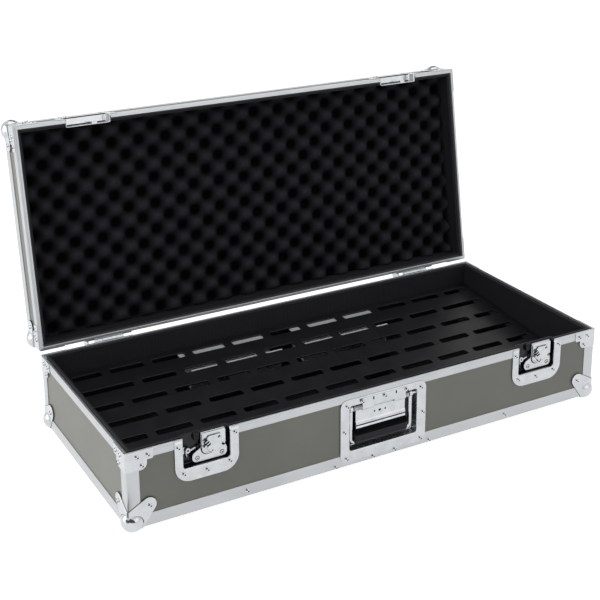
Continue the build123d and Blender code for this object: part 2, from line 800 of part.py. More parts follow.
def hinge_leaf(shell, centre_x, height, middle_knuckle):
    """Riveted leaf on the back wall with its knuckles."""
    half = hinge_leaf_width / 2
    z0, z1 = sorted((shell.rim, shell.down(height)))
    outline = rounded_box_sketch(centre_x - half, centre_x + half, z0, z1, hinge_leaf_corner)
    near = sorted((shell.rim, shell.down(height / 2)))
    outline = outline + plain_box_sketch(centre_x - half, centre_x + half, *near)
    out_y = half_d + hinge_leaf_thickness
    leaf = front_solid(outline, out_y, panel_out_d)
    leaf = leaf - block(centre_x - half, centre_x + half, 0, half_d,
                        shell.rim, shell.down(rim_flange))
    radius = hinge_barrel_radius
    cleared = radius + hinge_knuckle_clearance
    for room in knuckle_room(centre_x, not middle_knuckle, cleared, hinge_knuckle_gap / 2):
        leaf = leaf - room
    for knuckle in knuckle_room(centre_x, middle_knuckle, radius, 0):
        leaf = leaf + knuckle
    spare = running_clearance if middle_knuckle else fixed_clearance
    end = hinge_barrel_length
    return leaf - along_x(hinge_pin_radius + spare, centre_x - end, centre_x + end,
                          hinge_y, hinge_z)


def hinge_pin(centre_x):
    """Pin through all three knuckles."""
    half = hinge_barrel_length / 2
    return along_x(hinge_pin_radius, centre_x - half, centre_x + half, hinge_y, hinge_z)


def stop_ear(centre_x):
    """Ear on the lid's leaf whose edge meets the base's leaf when the lid is open."""
    angle = math.radians(lid_open_angle)
    face = hinge_leaf_thickness - hinge_offset

    def bearing(y):
        """Closed-pose height of the edge that lies on the base's leaf when open."""
        return (face + stop_ear_gap - y * math.cos(angle)) / math.sin(angle)

    y_out = stop_ear_reach
    points = [(0, bearing(0)), (y_out, bearing(y_out)), (y_out, stop_ear_height / 2),
              (face, stop_ear_height), (face, closing_gap)]
    outline = make_face(Polyline(*points, close=True))
    x0 = centre_x + stop_ear_x - stop_ear_thickness / 2
    plane = Plane(origin=(x0, hinge_y, hinge_z), x_dir=(0, 1, 0), z_dir=(1, 0, 0))
    return extrude(plane * outline, amount=stop_ear_thickness)


def hinge_rivets(shell, centre_x, height):
    """Rivets of one hinge leaf."""
    out = half_d + hinge_leaf_thickness
    drops = (height / 2, height - rivet_radius * 2)
    return [rivet_at((centre_x + x, out, shell.down(drop)), (0, 1, 0))
            for x in (-hinge_rivet_x, hinge_rivet_x) for drop in drops]


# ---- deck ----
def slot_sketch(x0, x1, s):
    """Rounded slot in the deck's own plane."""
    shape = RectangleRounded(x1 - x0, slot_width, slot_corner)
    return Pos((x0 + x1) / 2, s) * shape


def deck_slots():
    """All slots: long and short rows in turn, closed off at the sides of the field."""
    found = []
    for row in range(slot_rows):
        s = (row - (slot_rows - 1) / 2) * slot_row_pitch
        count = slots_in_long_row - row % 2
        for i in range(count):
            middle = (i - (count - 1) / 2) * slot_pitch_x
            x0 = middle - slot_length / 2
            x1 = middle + slot_length / 2
            if i == 0 and row % 2:
                x0 = -slot_field_half
            if i == count - 1 and row % 2:
                x1 = slot_field_half
            found.append(slot_sketch(max(x0, -slot_field_half), min(x1, slot_field_half), s))
    return found


def deck_plate():
    """Folded sheet with slots and a lip along the front and back."""
    half_x, half_s = deck_width / 2, deck_length / 2
    sheet = Pos(0, 0) * Rectangle(deck_width, deck_length)
    for slot in deck_slots():
        sheet = sheet - slot
    solid = extrude(sheet, amount=-deck_sheet)
    for s0, s1 in ((-half_s, -half_s + deck_sheet), (half_s - deck_sheet, half_s)):
        solid = solid + block(-half_x, half_x, s0, s1, -deck_lip, -deck_sheet)
    low, high = deck_screw_radii
    for x, s in deck_screw_places():
        solid = solid - Pos(x, s, -deck_sheet / 2) * Cone(low + deck_screw_gap, high + deck_screw_gap,
                                                          deck_sheet)
    return DECK * solid


def deck_runners():
    """Angle runners on the side walls, parallel to the deck."""
    found = []
    under = -deck_sheet
    half = runner_length / 2
    for sign in (-1, 1):
        wall = sign * lining_w - deck_centre_x
        inner = wall - sign * runner_leg
        leg = block(wall, wall - sign * runner_wall, -half, half, under - runner_drop, under)
        shelf = block(wall, inner, -half, half, under - runner_wall, under)
        found.append(DECK * (leg + shelf))
    return found


def deck_posts():
    """Wooden posts between the base's floor and the deck."""
    half = post_size / 2
    above = DECK * block(-case_width, case_width, -case_depth, case_depth,
                         -deck_sheet, case_depth)
    return [block(x - half, x + half, y - half, y + half, floor_mat_z + floor_mat_thickness,
                  rim_z) - above
            for x in (-post_x, post_x) for y in post_y]


def cradle(centre_x):
    """Hat-shaped sheet cradle under the deck for a power supply."""
    x0 = centre_x - deck_centre_x - cradle_length / 2
    x1 = x0 + cradle_length
    t = cradle_sheet
    top = -deck_sheet
    low = top - cradle_depth
    front0, front1 = cradle_front_flange
    back0, back1 = cradle_back_flange
    solid = block(x0, x1, front0, front1, top - t, top)
    solid = solid + block(x0, x1, back0, back1, top - t, top)
    solid = solid + block(x0, x1, front1 - t, front1, low, top)
    solid = solid + block(x0, x1, back0, back0 + t, low, top)
    solid = solid + block(x0, x1, front1 - t, back0 + t, low - t, low)
    return DECK * solid


def cradle_screws():
    """Screw heads under the cradles' flanges."""
    found = []
    for centre_x in cradle_x:
        for side in (-1, 1):
            x = centre_x - deck_centre_x + side * (cradle_length / 2 - 3 * screw_head_radius)
            for s0, s1 in (cradle_front_flange, cradle_back_flange):
                z = -deck_sheet - cradle_sheet - screw_head_height / 2
                head = Cylinder(screw_head_radius, screw_head_height)
                middle = (s0 + s1 - cradle_sheet) / 2
                found.append(DECK * (Pos(x, middle, z) * head))
    return found


def deck_screw_places():
    """Places in the deck's own plane of the screws into the runners."""
    inset_x, inset_s = deck_screw_inset
    x, s = deck_width / 2 - inset_x, deck_length / 2 - inset_s
    return [(sx * x, sy * s) for sx, sy in CASE_SIDES]


def deck_screws():
    """Countersunk screw heads that hold the deck on its runners, just below its surface."""
    low, high = deck_screw_radii
    height = deck_sheet - deck_screw_gap
    head = Cone(low, high, height)
    return [DECK * (Pos(x, s, -deck_sheet + height / 2) * head) for x, s in deck_screw_places()]


def foam_lines(start, step, half):
    """Lines of peaks and pits between the foam's edges: places and their numbers."""
    reach = half - egg_foam_margin
    low = math.ceil((-reach - start) / step)
    high = math.floor((reach - start) / step)
    inner = [(start + i * step, i) for i in range(low, high + 1)]
    return [(-half, None), *inner, (half, None)]


def egg_crate_foam():
    """Convoluted foam: a flat back under staggered peaks and pits, in flat facets."""
    back = LID.up(section_wall + panel_thickness)
    half_x, half_y = lining_w - egg_foam_side_gap, lining_d - egg_foam_side_gap
    lines_x = foam_lines(egg_foam_start[0], egg_foam_step[0], half_x)
    lines_y = foam_lines(hinge_y - egg_foam_start[1], egg_foam_step[1], half_y)
    crown = back - egg_foam_thickness

    def point(line_x, line_y):
        """Point of the face: a peak, a pit or the level edge."""
        (x, i), (y, j) = line_x, line_y
        if i is None or j is None:
            return (x, y, crown + egg_foam_relief / 2)
        return (x, y, crown if (i + j) % 2 == 0 else crown + egg_foam_relief)

    rows = [[point(line_x, line_y) for line_x in lines_x] for line_y in lines_y]
    loops = []
    for low, high in zip(rows, rows[1:]):
        for a, b, c, d in zip(low, low[1:], high[1:], high):
            loops += [(a, b, c), (a, c, d)]
    left, right = [row[0] for row in rows], [row[-1] for row in rows]
    for edge in (rows[0], rows[-1], left, right):
        first, last = edge[0], edge[-1]
        loops.append((*edge, (last[0], last[1], back), (first[0], first[1], back)))
    loops.append([(x, y, back) for x, y, _ in (left[0], right[0], right[-1], left[-1])])
    return Solid(Shell([Face(Wire.make_polygon(loop)) for loop in loops]))


# ---- writing ----
def write_base():
    """Everything fixed to the base."""
    front = wall_panel(BASE, "front") - handle_gap()
    lining = wall_lining(BASE, latch_opening_base_height)
    lining[0] = lining[0] - handle_gap()
    for gap in latch_gap(BASE, latch_opening_base_height):
        front = front - gap
    write("base_bottom_panel", closed_panel(BASE))
    write("base_front_panel", front)
    for side in ("back", "left", "right"):
        write(f"base_{side}_panel", wall_panel(BASE, side))
    write("base_bottom_angles", edge_angles(BASE))
    write("base_corner_angles", corner_angles(BASE))
    write("base_rim_profile", rim_profile(BASE, "groove", latch_opening_base_height))
    write("base_wall_lining", lining)
    write("base_floor_mat", block(-lining_w, lining_w, -lining_d, lining_d,
                                  floor_mat_z, floor_mat_z + floor_mat_thickness))
    write("base_ball_corners", [corner_cap(BASE, *side) for side in CASE_SIDES])
    write("base_corner_braces", [corner_brace(BASE, *side) for side in CASE_SIDES])


def write_base_rivets():
    """All rivet heads of the base in one node."""
    found = [corner_rivets(BASE, *side) for side in CASE_SIDES]
    for x in (-latch_x, latch_x):
        found.append(face_rivets(x, latch_rivets, BASE.down, dish_sheet))
    found.append(face_rivets(0, handle_rivets, BASE.down, dish_sheet))
    found.append(face_rivets(0, handle_side_rivets, BASE.down, 0))
    z = underside + edge_rivet_drop
    for x in (-edge_rivet_x, edge_rivet_x):
        found.append(rivet_at((x, front_y, z), (0, -1, 0)))
        found.append(rivet_at((x, half_d, z), (0, 1, 0)))
    for x in (-hinge_x, hinge_x):
        found.append(hinge_rivets(BASE, x, hinge_base_leaf_height))
    cover_out = dish_sheet + cover_thickness
    places = [(x, cover_rivet_drop) for x in (-cover_rivet_x, 0, cover_rivet_x)]
    found.append(face_rivets(0, places, BASE.down, cover_out))
    write("base_rivets", found)


def write_lid():
    """Everything fixed to the lid."""
    front = wall_panel(LID, "front")
    for gap in latch_gap(LID, latch_opening_lid_height):
        front = front - gap
    pieces = {
        "lid_top_panel": closed_panel(LID),
        "lid_front_panel": front,
        "lid_top_angles": edge_angles(LID),
        "lid_corner_angles": corner_angles(LID),
        "lid_rim_profile": rim_profile(LID, "tongue", latch_opening_lid_height),
        "lid_wall_lining": wall_lining(LID, latch_opening_lid_height),
        "lid_egg_crate_foam": egg_crate_foam(),
        "lid_ball_corners": [corner_cap(LID, *side) for side in CASE_SIDES],
        "lid_corner_braces": [corner_brace(LID, *side) for side in CASE_SIDES],
    }
    for side in ("back", "left", "right"):
        pieces[f"lid_{side}_panel"] = wall_panel(LID, side)
    pieces["latch_keepers"] = [latch_keeper(x) for x in (-latch_x, latch_x)]
    rivets = [corner_rivets(LID, *side) for side in CASE_SIDES]
    for x in (-latch_x, latch_x):
        rivets.append(face_rivets(x, latch_lid_rivets, LID.down, dish_sheet))
    for x in (-hinge_x, hinge_x):
        rivets.append(hinge_rivets(LID, x, hinge_lid_leaf_height))
    pieces["lid_rivets"] = rivets
    for name, piece in pieces.items():
        write(name, piece, open_lid=True)


def write_latch(side, x):
    """One latch: dishes, mechanism plate, rotor, cam, wing and its pin."""
    write(f"latch_{side}_base_dish",
          latch_dish(BASE, x, latch_dish_base_height, latch_dish_corner,
                     latch_opening_base_height))
    write(f"latch_{side}_lid_dish",
          latch_dish(LID, x, latch_dish_lid_height, latch_lid_dish_corner,
                     latch_opening_lid_height), open_lid=True)
    write(f"latch_{side}_mechanism_plate", latch_plate(x))
    write(f"latch_{side}_rotor", latch_rotor(x))
    write(f"latch_{side}_cam_hook", latch_cam(x))
    write(f"latch_{side}_wing", latch_wing(x))
    write(f"latch_{side}_wing_pin", latch_wing_pin(x))


def write_handle():
    """The recessed handle."""
    write("handle_dish", handle_dish())
    write("handle_cover_strip", handle_cover())
    write("handle_pivot_pin", handle_pin())
    write("handle_return_springs", handle_springs())
    write("handle_bail", handle_bail())
    write("handle_flap", handle_flap())
    write("handle_grip", handle_grip())


def write_hinge(side, x):
    """One stop hinge."""
    write(f"hinge_{side}_base_leaf", hinge_leaf(BASE, x, hinge_base_leaf_height, False))
    leaf = hinge_leaf(LID, x, hinge_lid_leaf_height, True) + stop_ear(x)
    write(f"hinge_{side}_lid_leaf", leaf, open_lid=True)


def write_deck():
    """The slotted deck and what carries it."""
    write("deck_plate", deck_plate())
    write("deck_runners", deck_runners())
    write("deck_posts", deck_posts())
    for name, x in zip(("left", "right"), cradle_x):
        write(f"deck_{name}_cradle", cradle(x))
    write("deck_screws", cradle_screws(), deck_screws())


os.makedirs("parts", exist_ok=True)
write_base()
write_base_rivets()
write_lid()
for latch_side, latch_centre in (("left", -latch_x), ("right", latch_x)):
    write_latch(latch_side, latch_centre)
write_handle()
for hinge_side, hinge_centre in (("left", -hinge_x), ("right", hinge_x)):
    write_hinge(hinge_side, hinge_centre)
write("hinge_pins", [hinge_pin(x) for x in (-hinge_x, hinge_x)])
write_deck()
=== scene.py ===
"""Flight case for guitar effect pedals: its visible surfaces, finishes, light and camera.

Each sub-assembly is a class with its sizes in millimetres. The surfaces are numpy grids
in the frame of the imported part, and only the last step turns them into metres.
"""
import json
import logging
import math
from dataclasses import dataclass, field
from enum import Enum
from typing import Callable, Optional, Sequence

import bpy
import numpy as np
from mathutils import Matrix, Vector
from mathutils.geometry import tessellate_polygon


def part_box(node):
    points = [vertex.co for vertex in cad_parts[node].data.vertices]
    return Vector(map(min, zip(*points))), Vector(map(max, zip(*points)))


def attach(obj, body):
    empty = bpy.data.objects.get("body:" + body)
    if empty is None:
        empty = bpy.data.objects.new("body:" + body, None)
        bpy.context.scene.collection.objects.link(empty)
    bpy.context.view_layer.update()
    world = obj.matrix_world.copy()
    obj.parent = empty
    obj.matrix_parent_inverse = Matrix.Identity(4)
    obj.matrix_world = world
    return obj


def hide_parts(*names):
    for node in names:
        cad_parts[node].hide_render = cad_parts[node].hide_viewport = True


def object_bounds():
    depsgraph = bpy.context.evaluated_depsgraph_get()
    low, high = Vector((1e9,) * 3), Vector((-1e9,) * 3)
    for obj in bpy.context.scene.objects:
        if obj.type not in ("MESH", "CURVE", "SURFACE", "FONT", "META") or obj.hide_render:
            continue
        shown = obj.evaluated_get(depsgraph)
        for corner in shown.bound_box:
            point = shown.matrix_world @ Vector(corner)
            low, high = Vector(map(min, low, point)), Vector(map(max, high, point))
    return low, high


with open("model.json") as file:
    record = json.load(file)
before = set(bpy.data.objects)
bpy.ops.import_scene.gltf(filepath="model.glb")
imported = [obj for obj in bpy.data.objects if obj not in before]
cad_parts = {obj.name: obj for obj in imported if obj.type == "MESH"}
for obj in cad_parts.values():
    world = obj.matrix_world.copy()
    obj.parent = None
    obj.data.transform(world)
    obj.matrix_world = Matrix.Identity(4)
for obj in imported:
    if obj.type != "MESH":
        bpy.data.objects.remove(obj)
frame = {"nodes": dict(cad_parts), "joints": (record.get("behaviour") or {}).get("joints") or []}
cad_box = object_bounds()

MM = 0.001
FLAT_ROW = 0.35
CORNERS = ((-1, -1), (-1, 1), (1, -1), (1, 1))
Array = np.ndarray
Material = bpy.types.Material
Socket = bpy.types.NodeSocket
Place = Callable[[Array, Array, Array], Array]
logging.basicConfig(level=logging.INFO, format="%(message)s")
log = logging.getLogger("pedal_case")


class Body(Enum):
    """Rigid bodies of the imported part."""

    BASE = "base"
    LID = "lid"
    HANDLE = "handle"
    LEFT_TURN = "left_latch_turn"
    RIGHT_TURN = "right_latch_turn"
    LEFT_WING = "left_latch_wing"
    RIGHT_WING = "right_latch_wing"


class Side(Enum):
    """Left or right, as seen from the front."""

    LEFT = -1
    RIGHT = 1


def box_mm(node: str) -> Array:
    """Lowest and highest corners of a node at rest.

    Args:
        node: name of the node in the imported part.

    Returns:
        Array of shape (2, 3) in millimetres.
    """
    return np.array(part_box(node), dtype=float) / MM


# ---------------------------------------------------------------- surfaces
@dataclass
class Surface:
    """Points in millimetres with quads and larger polygons between them."""

    points: Array
    quads: Array = field(default_factory=lambda: np.zeros((0, 4), dtype=int))
    polygons: list = field(default_factory=list)

    def faces(self) -> list:
        """All faces as lists of point numbers."""
        return self.quads.tolist() + [list(p) for p in self.polygons]

    def _corners(self) -> tuple[Array, Array, Array]:
        """The three corners of every fan triangle, for volume and direction sums."""
        parts = []
        if len(self.quads):
            parts += [self.quads[:, [0, 1, 2]], self.quads[:, [0, 2, 3]]]
        for loop in self.polygons:
            ring = np.asarray(loop)
            first = np.full(len(ring) - 2, ring[0])
            parts.append(np.stack([first, ring[1:-1], ring[2:]], axis=1))
        a, b, c = np.concatenate(parts).T
        return self.points[a], self.points[b], self.points[c]

    def flipped(self) -> "Surface":
        """The same surface with every face turned over."""
        return Surface(self.points, self.quads[:, ::-1], [list(p)[::-1] for p in self.polygons])

    def outward(self) -> "Surface":
        """A closed surface with its faces pointing out of the volume."""
        a, b, c = self._corners()
        volume = np.einsum("ij,ij->i", a, np.cross(b, c)).sum()
        return self if volume >= 0 else self.flipped()

    def facing(self, direction: Sequence[float]) -> "Surface":
        """An open surface turned so that it faces a direction on the whole.

        Args:
            direction: vector that the summed face normals have to agree with.

        Returns:
            The surface, turned over where needed.
        """
        a, b, c = self._corners()
        total = np.cross(b - a, c - a).sum(axis=0)
        return self if total @ np.asarray(direction) >= 0 else self.flipped()

    def mapped(self, change: Callable[[Array], Array]) -> "Surface":
        """The surface with its points passed through a function of the whole array."""
        return Surface(change(self.points), self.quads, self.polygons)

    def middles(self) -> Array:
        """Middle of every face, in the order of faces()."""
        parts = [self.points[self.quads].mean(axis=1)]
        parts += [self.points[list(loop)].mean(axis=0)[None] for loop in self.polygons]
        return np.concatenate(parts)


def join(parts: Sequence[Surface]) -> Surface:
    """One surface from several, with the point numbers shifted.

    Args:
        parts: surfaces to put together.

    Returns:
        The joined surface.
    """
    shifts = np.cumsum([0] + [len(p.points) for p in parts[:-1]])
    quads = [p.quads + s for p, s in zip(parts, shifts) if len(p.quads)]
    polygons = [(np.asarray(loop) + s).tolist()
                for p, s in zip(parts, shifts) for loop in p.polygons]
    joined = np.concatenate(quads) if quads else np.zeros((0, 4), dtype=int)
    return Surface(np.concatenate([p.points for p in parts]), joined, polygons)


def grid_quads(rows: int, columns: int, wrap: bool) -> Array:
    """Quads of a grid stored row after row.

    Args:
        rows: number of rows of points.
        columns: number of points in a row.
        wrap: whether the last column joins the first.

    Returns:
        Array of shape (n, 4).
    """
    last = columns if wrap else columns - 1
    r, c = np.meshgrid(np.arange(rows - 1), np.arange(last), indexing="ij")
    n = (c + 1) % columns
    quads = np.stack([r * columns + c, r * columns + n, (r + 1) * columns + n,
                      (r + 1) * columns + c], axis=-1)
    return quads.reshape(-1, 4)


def stack(rings: Array, wrap: bool = True, first: bool = False,
          last: bool = False) -> Surface:
    """Surface through a row of rings with equal numbers of points.

    Args:
        rings: array of shape (rings, points, 3).
        wrap: whether each ring is closed.
        first: whether the first ring is filled with one face.
        last: whether the last ring is filled with one face.

    Returns:
        The surface, not yet turned outward.
    """
    rows, columns = rings.shape[:2]
    polygons = []
    if first:
        polygons.append(list(range(columns))[::-1])
    if last:
        polygons.append(list(range((rows - 1) * columns, rows * columns)))
    return Surface(rings.reshape(-1, 3), grid_quads(rows, columns, wrap), polygons)


def rounded(corners: Sequence[Sequence[float]], radii: Sequence[float], steps: int = 6,
            closed: bool = True) -> Array:
    """Polyline with circular arcs at its corners.

    Each corner becomes the rational quadratic curve between the two tangent points, with
    the cosine of half the turn as the weight of the corner, which is an exact arc.

    Args:
        corners: corner points of shape (n, 2).
        radii: one radius for each corner.
        steps: number of points on each arc.
        closed: whether the polyline closes on itself.

    Returns:
        Array of shape (m, 2).
    """
    p = np.asarray(corners, dtype=float)
    r = np.asarray(radii, dtype=float)
    back = np.roll(p, 1, axis=0) - p
    ahead = np.roll(p, -1, axis=0) - p
    back /= np.linalg.norm(back, axis=1)[:, None]
    ahead /= np.linalg.norm(ahead, axis=1)[:, None]
    inner = np.arccos(np.clip((back * ahead).sum(axis=1), -1, 1))
    reach = r / np.tan(np.maximum(inner, 1e-3) / 2)
    weight = np.sin(inner / 2)[:, None, None]
    s = np.linspace(0, 1, steps)[None, :, None]
    a = (p + back * reach[:, None])[:, None]
    b = (p + ahead * reach[:, None])[:, None]
    low, mid, high = (1 - s) ** 2, 2 * s * (1 - s) * weight, s ** 2
    arcs = (low * a + mid * p[:, None] + high * b) / (low + mid + high)
    if closed:
        return arcs.reshape(-1, 2)
    middle = arcs[1:-1].reshape(-1, 2)
    return np.concatenate([p[:1], middle, p[-1:]])


def rounded_box(x0: float, x1: float, z0: float, z1: float, radius: float,
                steps: int = 6) -> Array:
    """Rounded rectangle, counter-clockwise from its lower left corner."""
    corners = [(x0, z0), (x1, z0), (x1, z1), (x0, z1)]
    return rounded(corners, [radius] * 4, steps)


def round_hull(discs: Sequence[Sequence[float]], steps: int = 72) -> Array:
    """Outline stretched round several discs.

    For each direction the point is taken on the disc that reaches furthest that way.

    Args:
        discs: rows of centre x, centre z and radius.
        steps: number of directions.

    Returns:
        Array of shape (steps, 2), counter-clockwise.
    """
    d = np.asarray(discs, dtype=float)
    turn = np.linspace(0, 2 * np.pi, steps, endpoint=False)
    way = np.stack([np.cos(turn), np.sin(turn)], axis=1)
    best = np.argmax(way @ d[:, :2].T + d[:, 2], axis=1)
    return d[best, :2] + way * d[best, 2][:, None]


def circle(x: float, z: float, radius: float, steps: int = 32) -> Array:
    """Circle as a counter-clockwise outline."""
    turn = np.linspace(0, 2 * np.pi, steps, endpoint=False)
    return np.stack([x + radius * np.cos(turn), z + radius * np.sin(turn)], axis=1)


def inset(outline: Array, distance: float) -> Array:
    """Closed counter-clockwise outline moved inwards along its mitred normals.

    Args:
        outline: array of shape (n, 2).
        distance: how far inwards, negative for outwards.

    Returns:
        Array of the same shape.
    """
    ahead = np.roll(outline, -1, axis=0) - outline
    back = outline - np.roll(outline, 1, axis=0)
    ahead /= np.maximum(np.linalg.norm(ahead, axis=1)[:, None], 1e-9)
    back /= np.maximum(np.linalg.norm(back, axis=1)[:, None], 1e-9)
    n0 = np.stack([-back[:, 1], back[:, 0]], axis=1)
    n1 = np.stack([-ahead[:, 1], ahead[:, 0]], axis=1)
    normal = n0 + n1
    scale = 2 / np.maximum((normal * normal).sum(axis=1), 0.8)
    return outline + normal * (scale * distance)[:, None]


def edge_rows(thickness: float, radius: float, steps: int = 4) -> list[tuple[float, float]]:
    """Inset and height of the rows over a rounded sheet edge, from its foot to the flat.

    Args:
        thickness: height of the sheet.
        radius: rounding of the upper edge.
        steps: points on the rounding.

    Returns:
        Rows of (inset, height). One more row on the flat keeps its shading flat.
    """
    turn = np.linspace(0, np.pi / 2, steps)
    rows = [(0.0, 0.0)]
    rows += [(radius * (1 - math.cos(t)), thickness - radius + radius * math.sin(t))
             for t in turn]
    rows.append((radius + FLAT_ROW, thickness))
    return rows


def plate(outline: Array, thickness: float, place: Place, edge: float = 0.5,
          holes: Sequence[Array] = ()) -> Surface:
    """Flat sheet with rounded upper edges and any number of holes.

    The wall is the outline repeated at each edge row, moved inwards and up, and the
    flats are filled between the outline and the holes.

    Args:
        outline: counter-clockwise outline.
        thickness: height of the sheet over its seat.
        place: maps the two outline coordinates and the height into space.
        edge: rounding of the upper edges.
        holes: counter-clockwise outlines of the holes.

    Returns:
        The closed surface.
    """
    rows = edge_rows(thickness, min(edge, thickness * 0.9))
    middle = outline.mean(axis=0)
    origin, along, across, above = place(
        np.array([0.0, 1.0, 0.0, 0.0]) + middle[0], np.array([0.0, 0.0, 1.0, 0.0]) + middle[1],
        np.array([0.0, 0.0, 0.0, 1.0]))
    mirrored = np.linalg.det([along - origin, across - origin, above - origin]) < 0
    parts, rims = [], {thickness: [], 0.0: []}
    for way, loop in [(1, outline)] + [(-1, hole) for hole in holes]:
        rings = [place(*inset(loop, way * d).T, np.full(len(loop), h)) for d, h in rows]
        wall = stack(np.stack(rings))
        parts.append(wall if (way > 0) != mirrored else wall.flipped())
        rims[thickness].append(inset(loop, way * rows[-1][0]))
        rims[0.0].append(loop)
    for height, loops in rims.items():
        flat = np.concatenate(loops)
        fill = tessellate_polygon([[(x, z, 0.0) for x, z in loop] for loop in loops])
        lid = Surface(place(*flat.T, np.full(len(flat), height)), polygons=[list(t) for t in fill])
        parts.append(lid.facing((above - origin) * (1 if height else -1)))
    return join(parts)


def lathe(profile: Sequence[Sequence[float]], place: Place, centre: Sequence[float],
          steps: int = 28) -> Surface:
    """Turned piece: a profile of radius and height carried round an axis.

    Args:
        profile: rows of radius and height, from the foot to the crown.
        place: maps two coordinates and the height into space.
        centre: the axis in the two coordinates.
        steps: number of points round the axis.

    Returns:
        The closed surface.
    """
    turn = np.linspace(0, 2 * np.pi, steps, endpoint=False)
    rings = [place(centre[0] + r * np.cos(turn), centre[1] + r * np.sin(turn),
                   np.full(steps, h)) for r, h in profile]
    return stack(np.stack(rings), first=True, last=True).outward()


def tube(path: Array, radius: float, normal: Sequence[float], steps: int = 18,
         closed: bool = False) -> Surface:
    """Round rod along a path that lies in one plane.

    Each ring stands on the path's tangent, between the plane's normal and the side.

    Args:
        path: centre line of shape (n, 3).
        radius: radius of the rod.
        normal: normal of the path's plane.
        steps: points round the rod.
        closed: whether the path closes on itself.

    Returns:
        The closed surface.
    """
    way = np.gradient(path, axis=0)
    if closed:
        way = np.roll(path, -1, axis=0) - np.roll(path, 1, axis=0)
    way /= np.linalg.norm(way, axis=1)[:, None]
    flat = np.asarray(normal, dtype=float)
    flat /= np.linalg.norm(flat)
    side = np.cross(way, flat)
    turn = np.linspace(0, 2 * np.pi, steps, endpoint=False)
    rings = (path[:, None] + radius * (np.cos(turn)[None, :, None] * side[:, None]
                                       + np.sin(turn)[None, :, None] * flat))
    if closed:
        return stack(np.concatenate([rings, rings[:1]])).outward()
    return stack(rings, first=True, last=True).outward()


def strip(start: Sequence[float], end: Sequence[float], half: float) -> Array:
    """Corners of a straight strip between two points, counter-clockwise.

    Args:
        start: middle of one end.
        end: middle of the other end.
        half: half of its width.

    Returns:
        Array of shape (4, 2).
    """
    a, b = np.asarray(start, dtype=float), np.asarray(end, dtype=float)
    way = (b - a) / np.linalg.norm(b - a)
    over = np.array([-way[1], way[0]]) * half
    return np.stack([a - over, b - over, b + over, a + over])


def border_rows(sheet: float) -> list[tuple[float, float]]:
    """Inset and height of the rows over the outer edge of a dish's border."""
    return [(0.0, 0.0), (0.0, sheet - 0.35), (0.12, sheet - 0.1), (0.4, sheet), (0.9, sheet)]


def pan_rows(sheet: float, roll: float, recess: float) -> list[tuple[float, float]]:
    """Rows of a dish from its border over the roll and down the wall to its floor.

    Args:
        sheet: height of the border.
        roll: radius between the border and the wall.
        recess: depth of the floor.

    Returns:
        Rows of (growth of the opening, height).
    """
    foot = 1.8
    rows = [(roll + 0.4, sheet)]
    rows += [(roll * (1 - math.sin(a)), sheet - roll * (1 - math.cos(a)))
             for a in np.linspace(0, np.pi / 2, 6)]
    rows += [(foot * (math.cos(a) - 1), foot * (1 - math.sin(a)) - recess)
             for a in np.linspace(0, np.pi / 2, 5)]
    return rows


def bar(section: Array, place: Place, low: Array, high: Array) -> Surface:
    """Extruded section between two ends, which may be mitred.

    Args:
        section: closed outline of shape (n, 2).
        place: maps distance along the bar and the section's two coordinates into space.
        low: place of the low end, one number for each point of the section.
        high: place of the high end.

    Returns:
        The closed surface.
    """
    rings = np.stack([place(end + np.zeros(len(section)), *section.T) for end in (low, high)])
    return stack(rings, first=True, last=True).outward()


def front(y: float) -> Place:
    """Places drawings on an upright plane that faces the front, with height towards it."""
    return lambda x, z, h: np.stack([x, y - h, z], axis=-1)


@dataclass(frozen=True)
class Coat:
    """Second finish of a piece and the faces that carry it, in the order of faces()."""

    finish: Material
    faces: Array


def add(name: str, data: bpy.types.ID) -> bpy.types.Object:
    """Puts a mesh, a lamp or a camera into the scene.

    Args:
        name: name of the object.
        data: what it shows.

    Returns:
        The object.
    """
    item = bpy.data.objects.new(name, data)
    bpy.context.scene.collection.objects.link(item)
    return item


def build(name: str, surface: Surface, finish: Material, body: Body,
          nodes: Sequence[str] = (), sharp: float = 32.0,
          coat: Optional[Coat] = None) -> bpy.types.Object:
    """Makes the object of a piece, shades it and ties it to its body.

    Args:
        name: name of the piece.
        surface: its surface in millimetres.
        finish: its material.
        body: the rigid body that carries it.
        nodes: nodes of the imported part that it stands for.
        sharp: edges over this angle in degrees stay sharp.
        coat: a second finish on some of the faces.

    Returns:
        The new object.
    """
    mesh = bpy.data.meshes.new(name)
    mesh.from_pydata((surface.points * MM).tolist(), [], surface.faces())
    mesh.polygons.foreach_set("use_smooth", np.ones(len(mesh.polygons), dtype=bool))
    mesh.set_sharp_from_angle(angle=math.radians(sharp))
    mesh.materials.append(finish)
    if coat is not None:
        mesh.materials.append(coat.finish)
        mesh.polygons.foreach_set("material_index", coat.faces.astype(np.int32))
    mesh.update()
    piece = add(name, mesh)
    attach(piece, body.value)
    if nodes:
        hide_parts(*nodes)
    log.info("%s: %d faces on %s", name, len(mesh.polygons), body.value)
    return piece


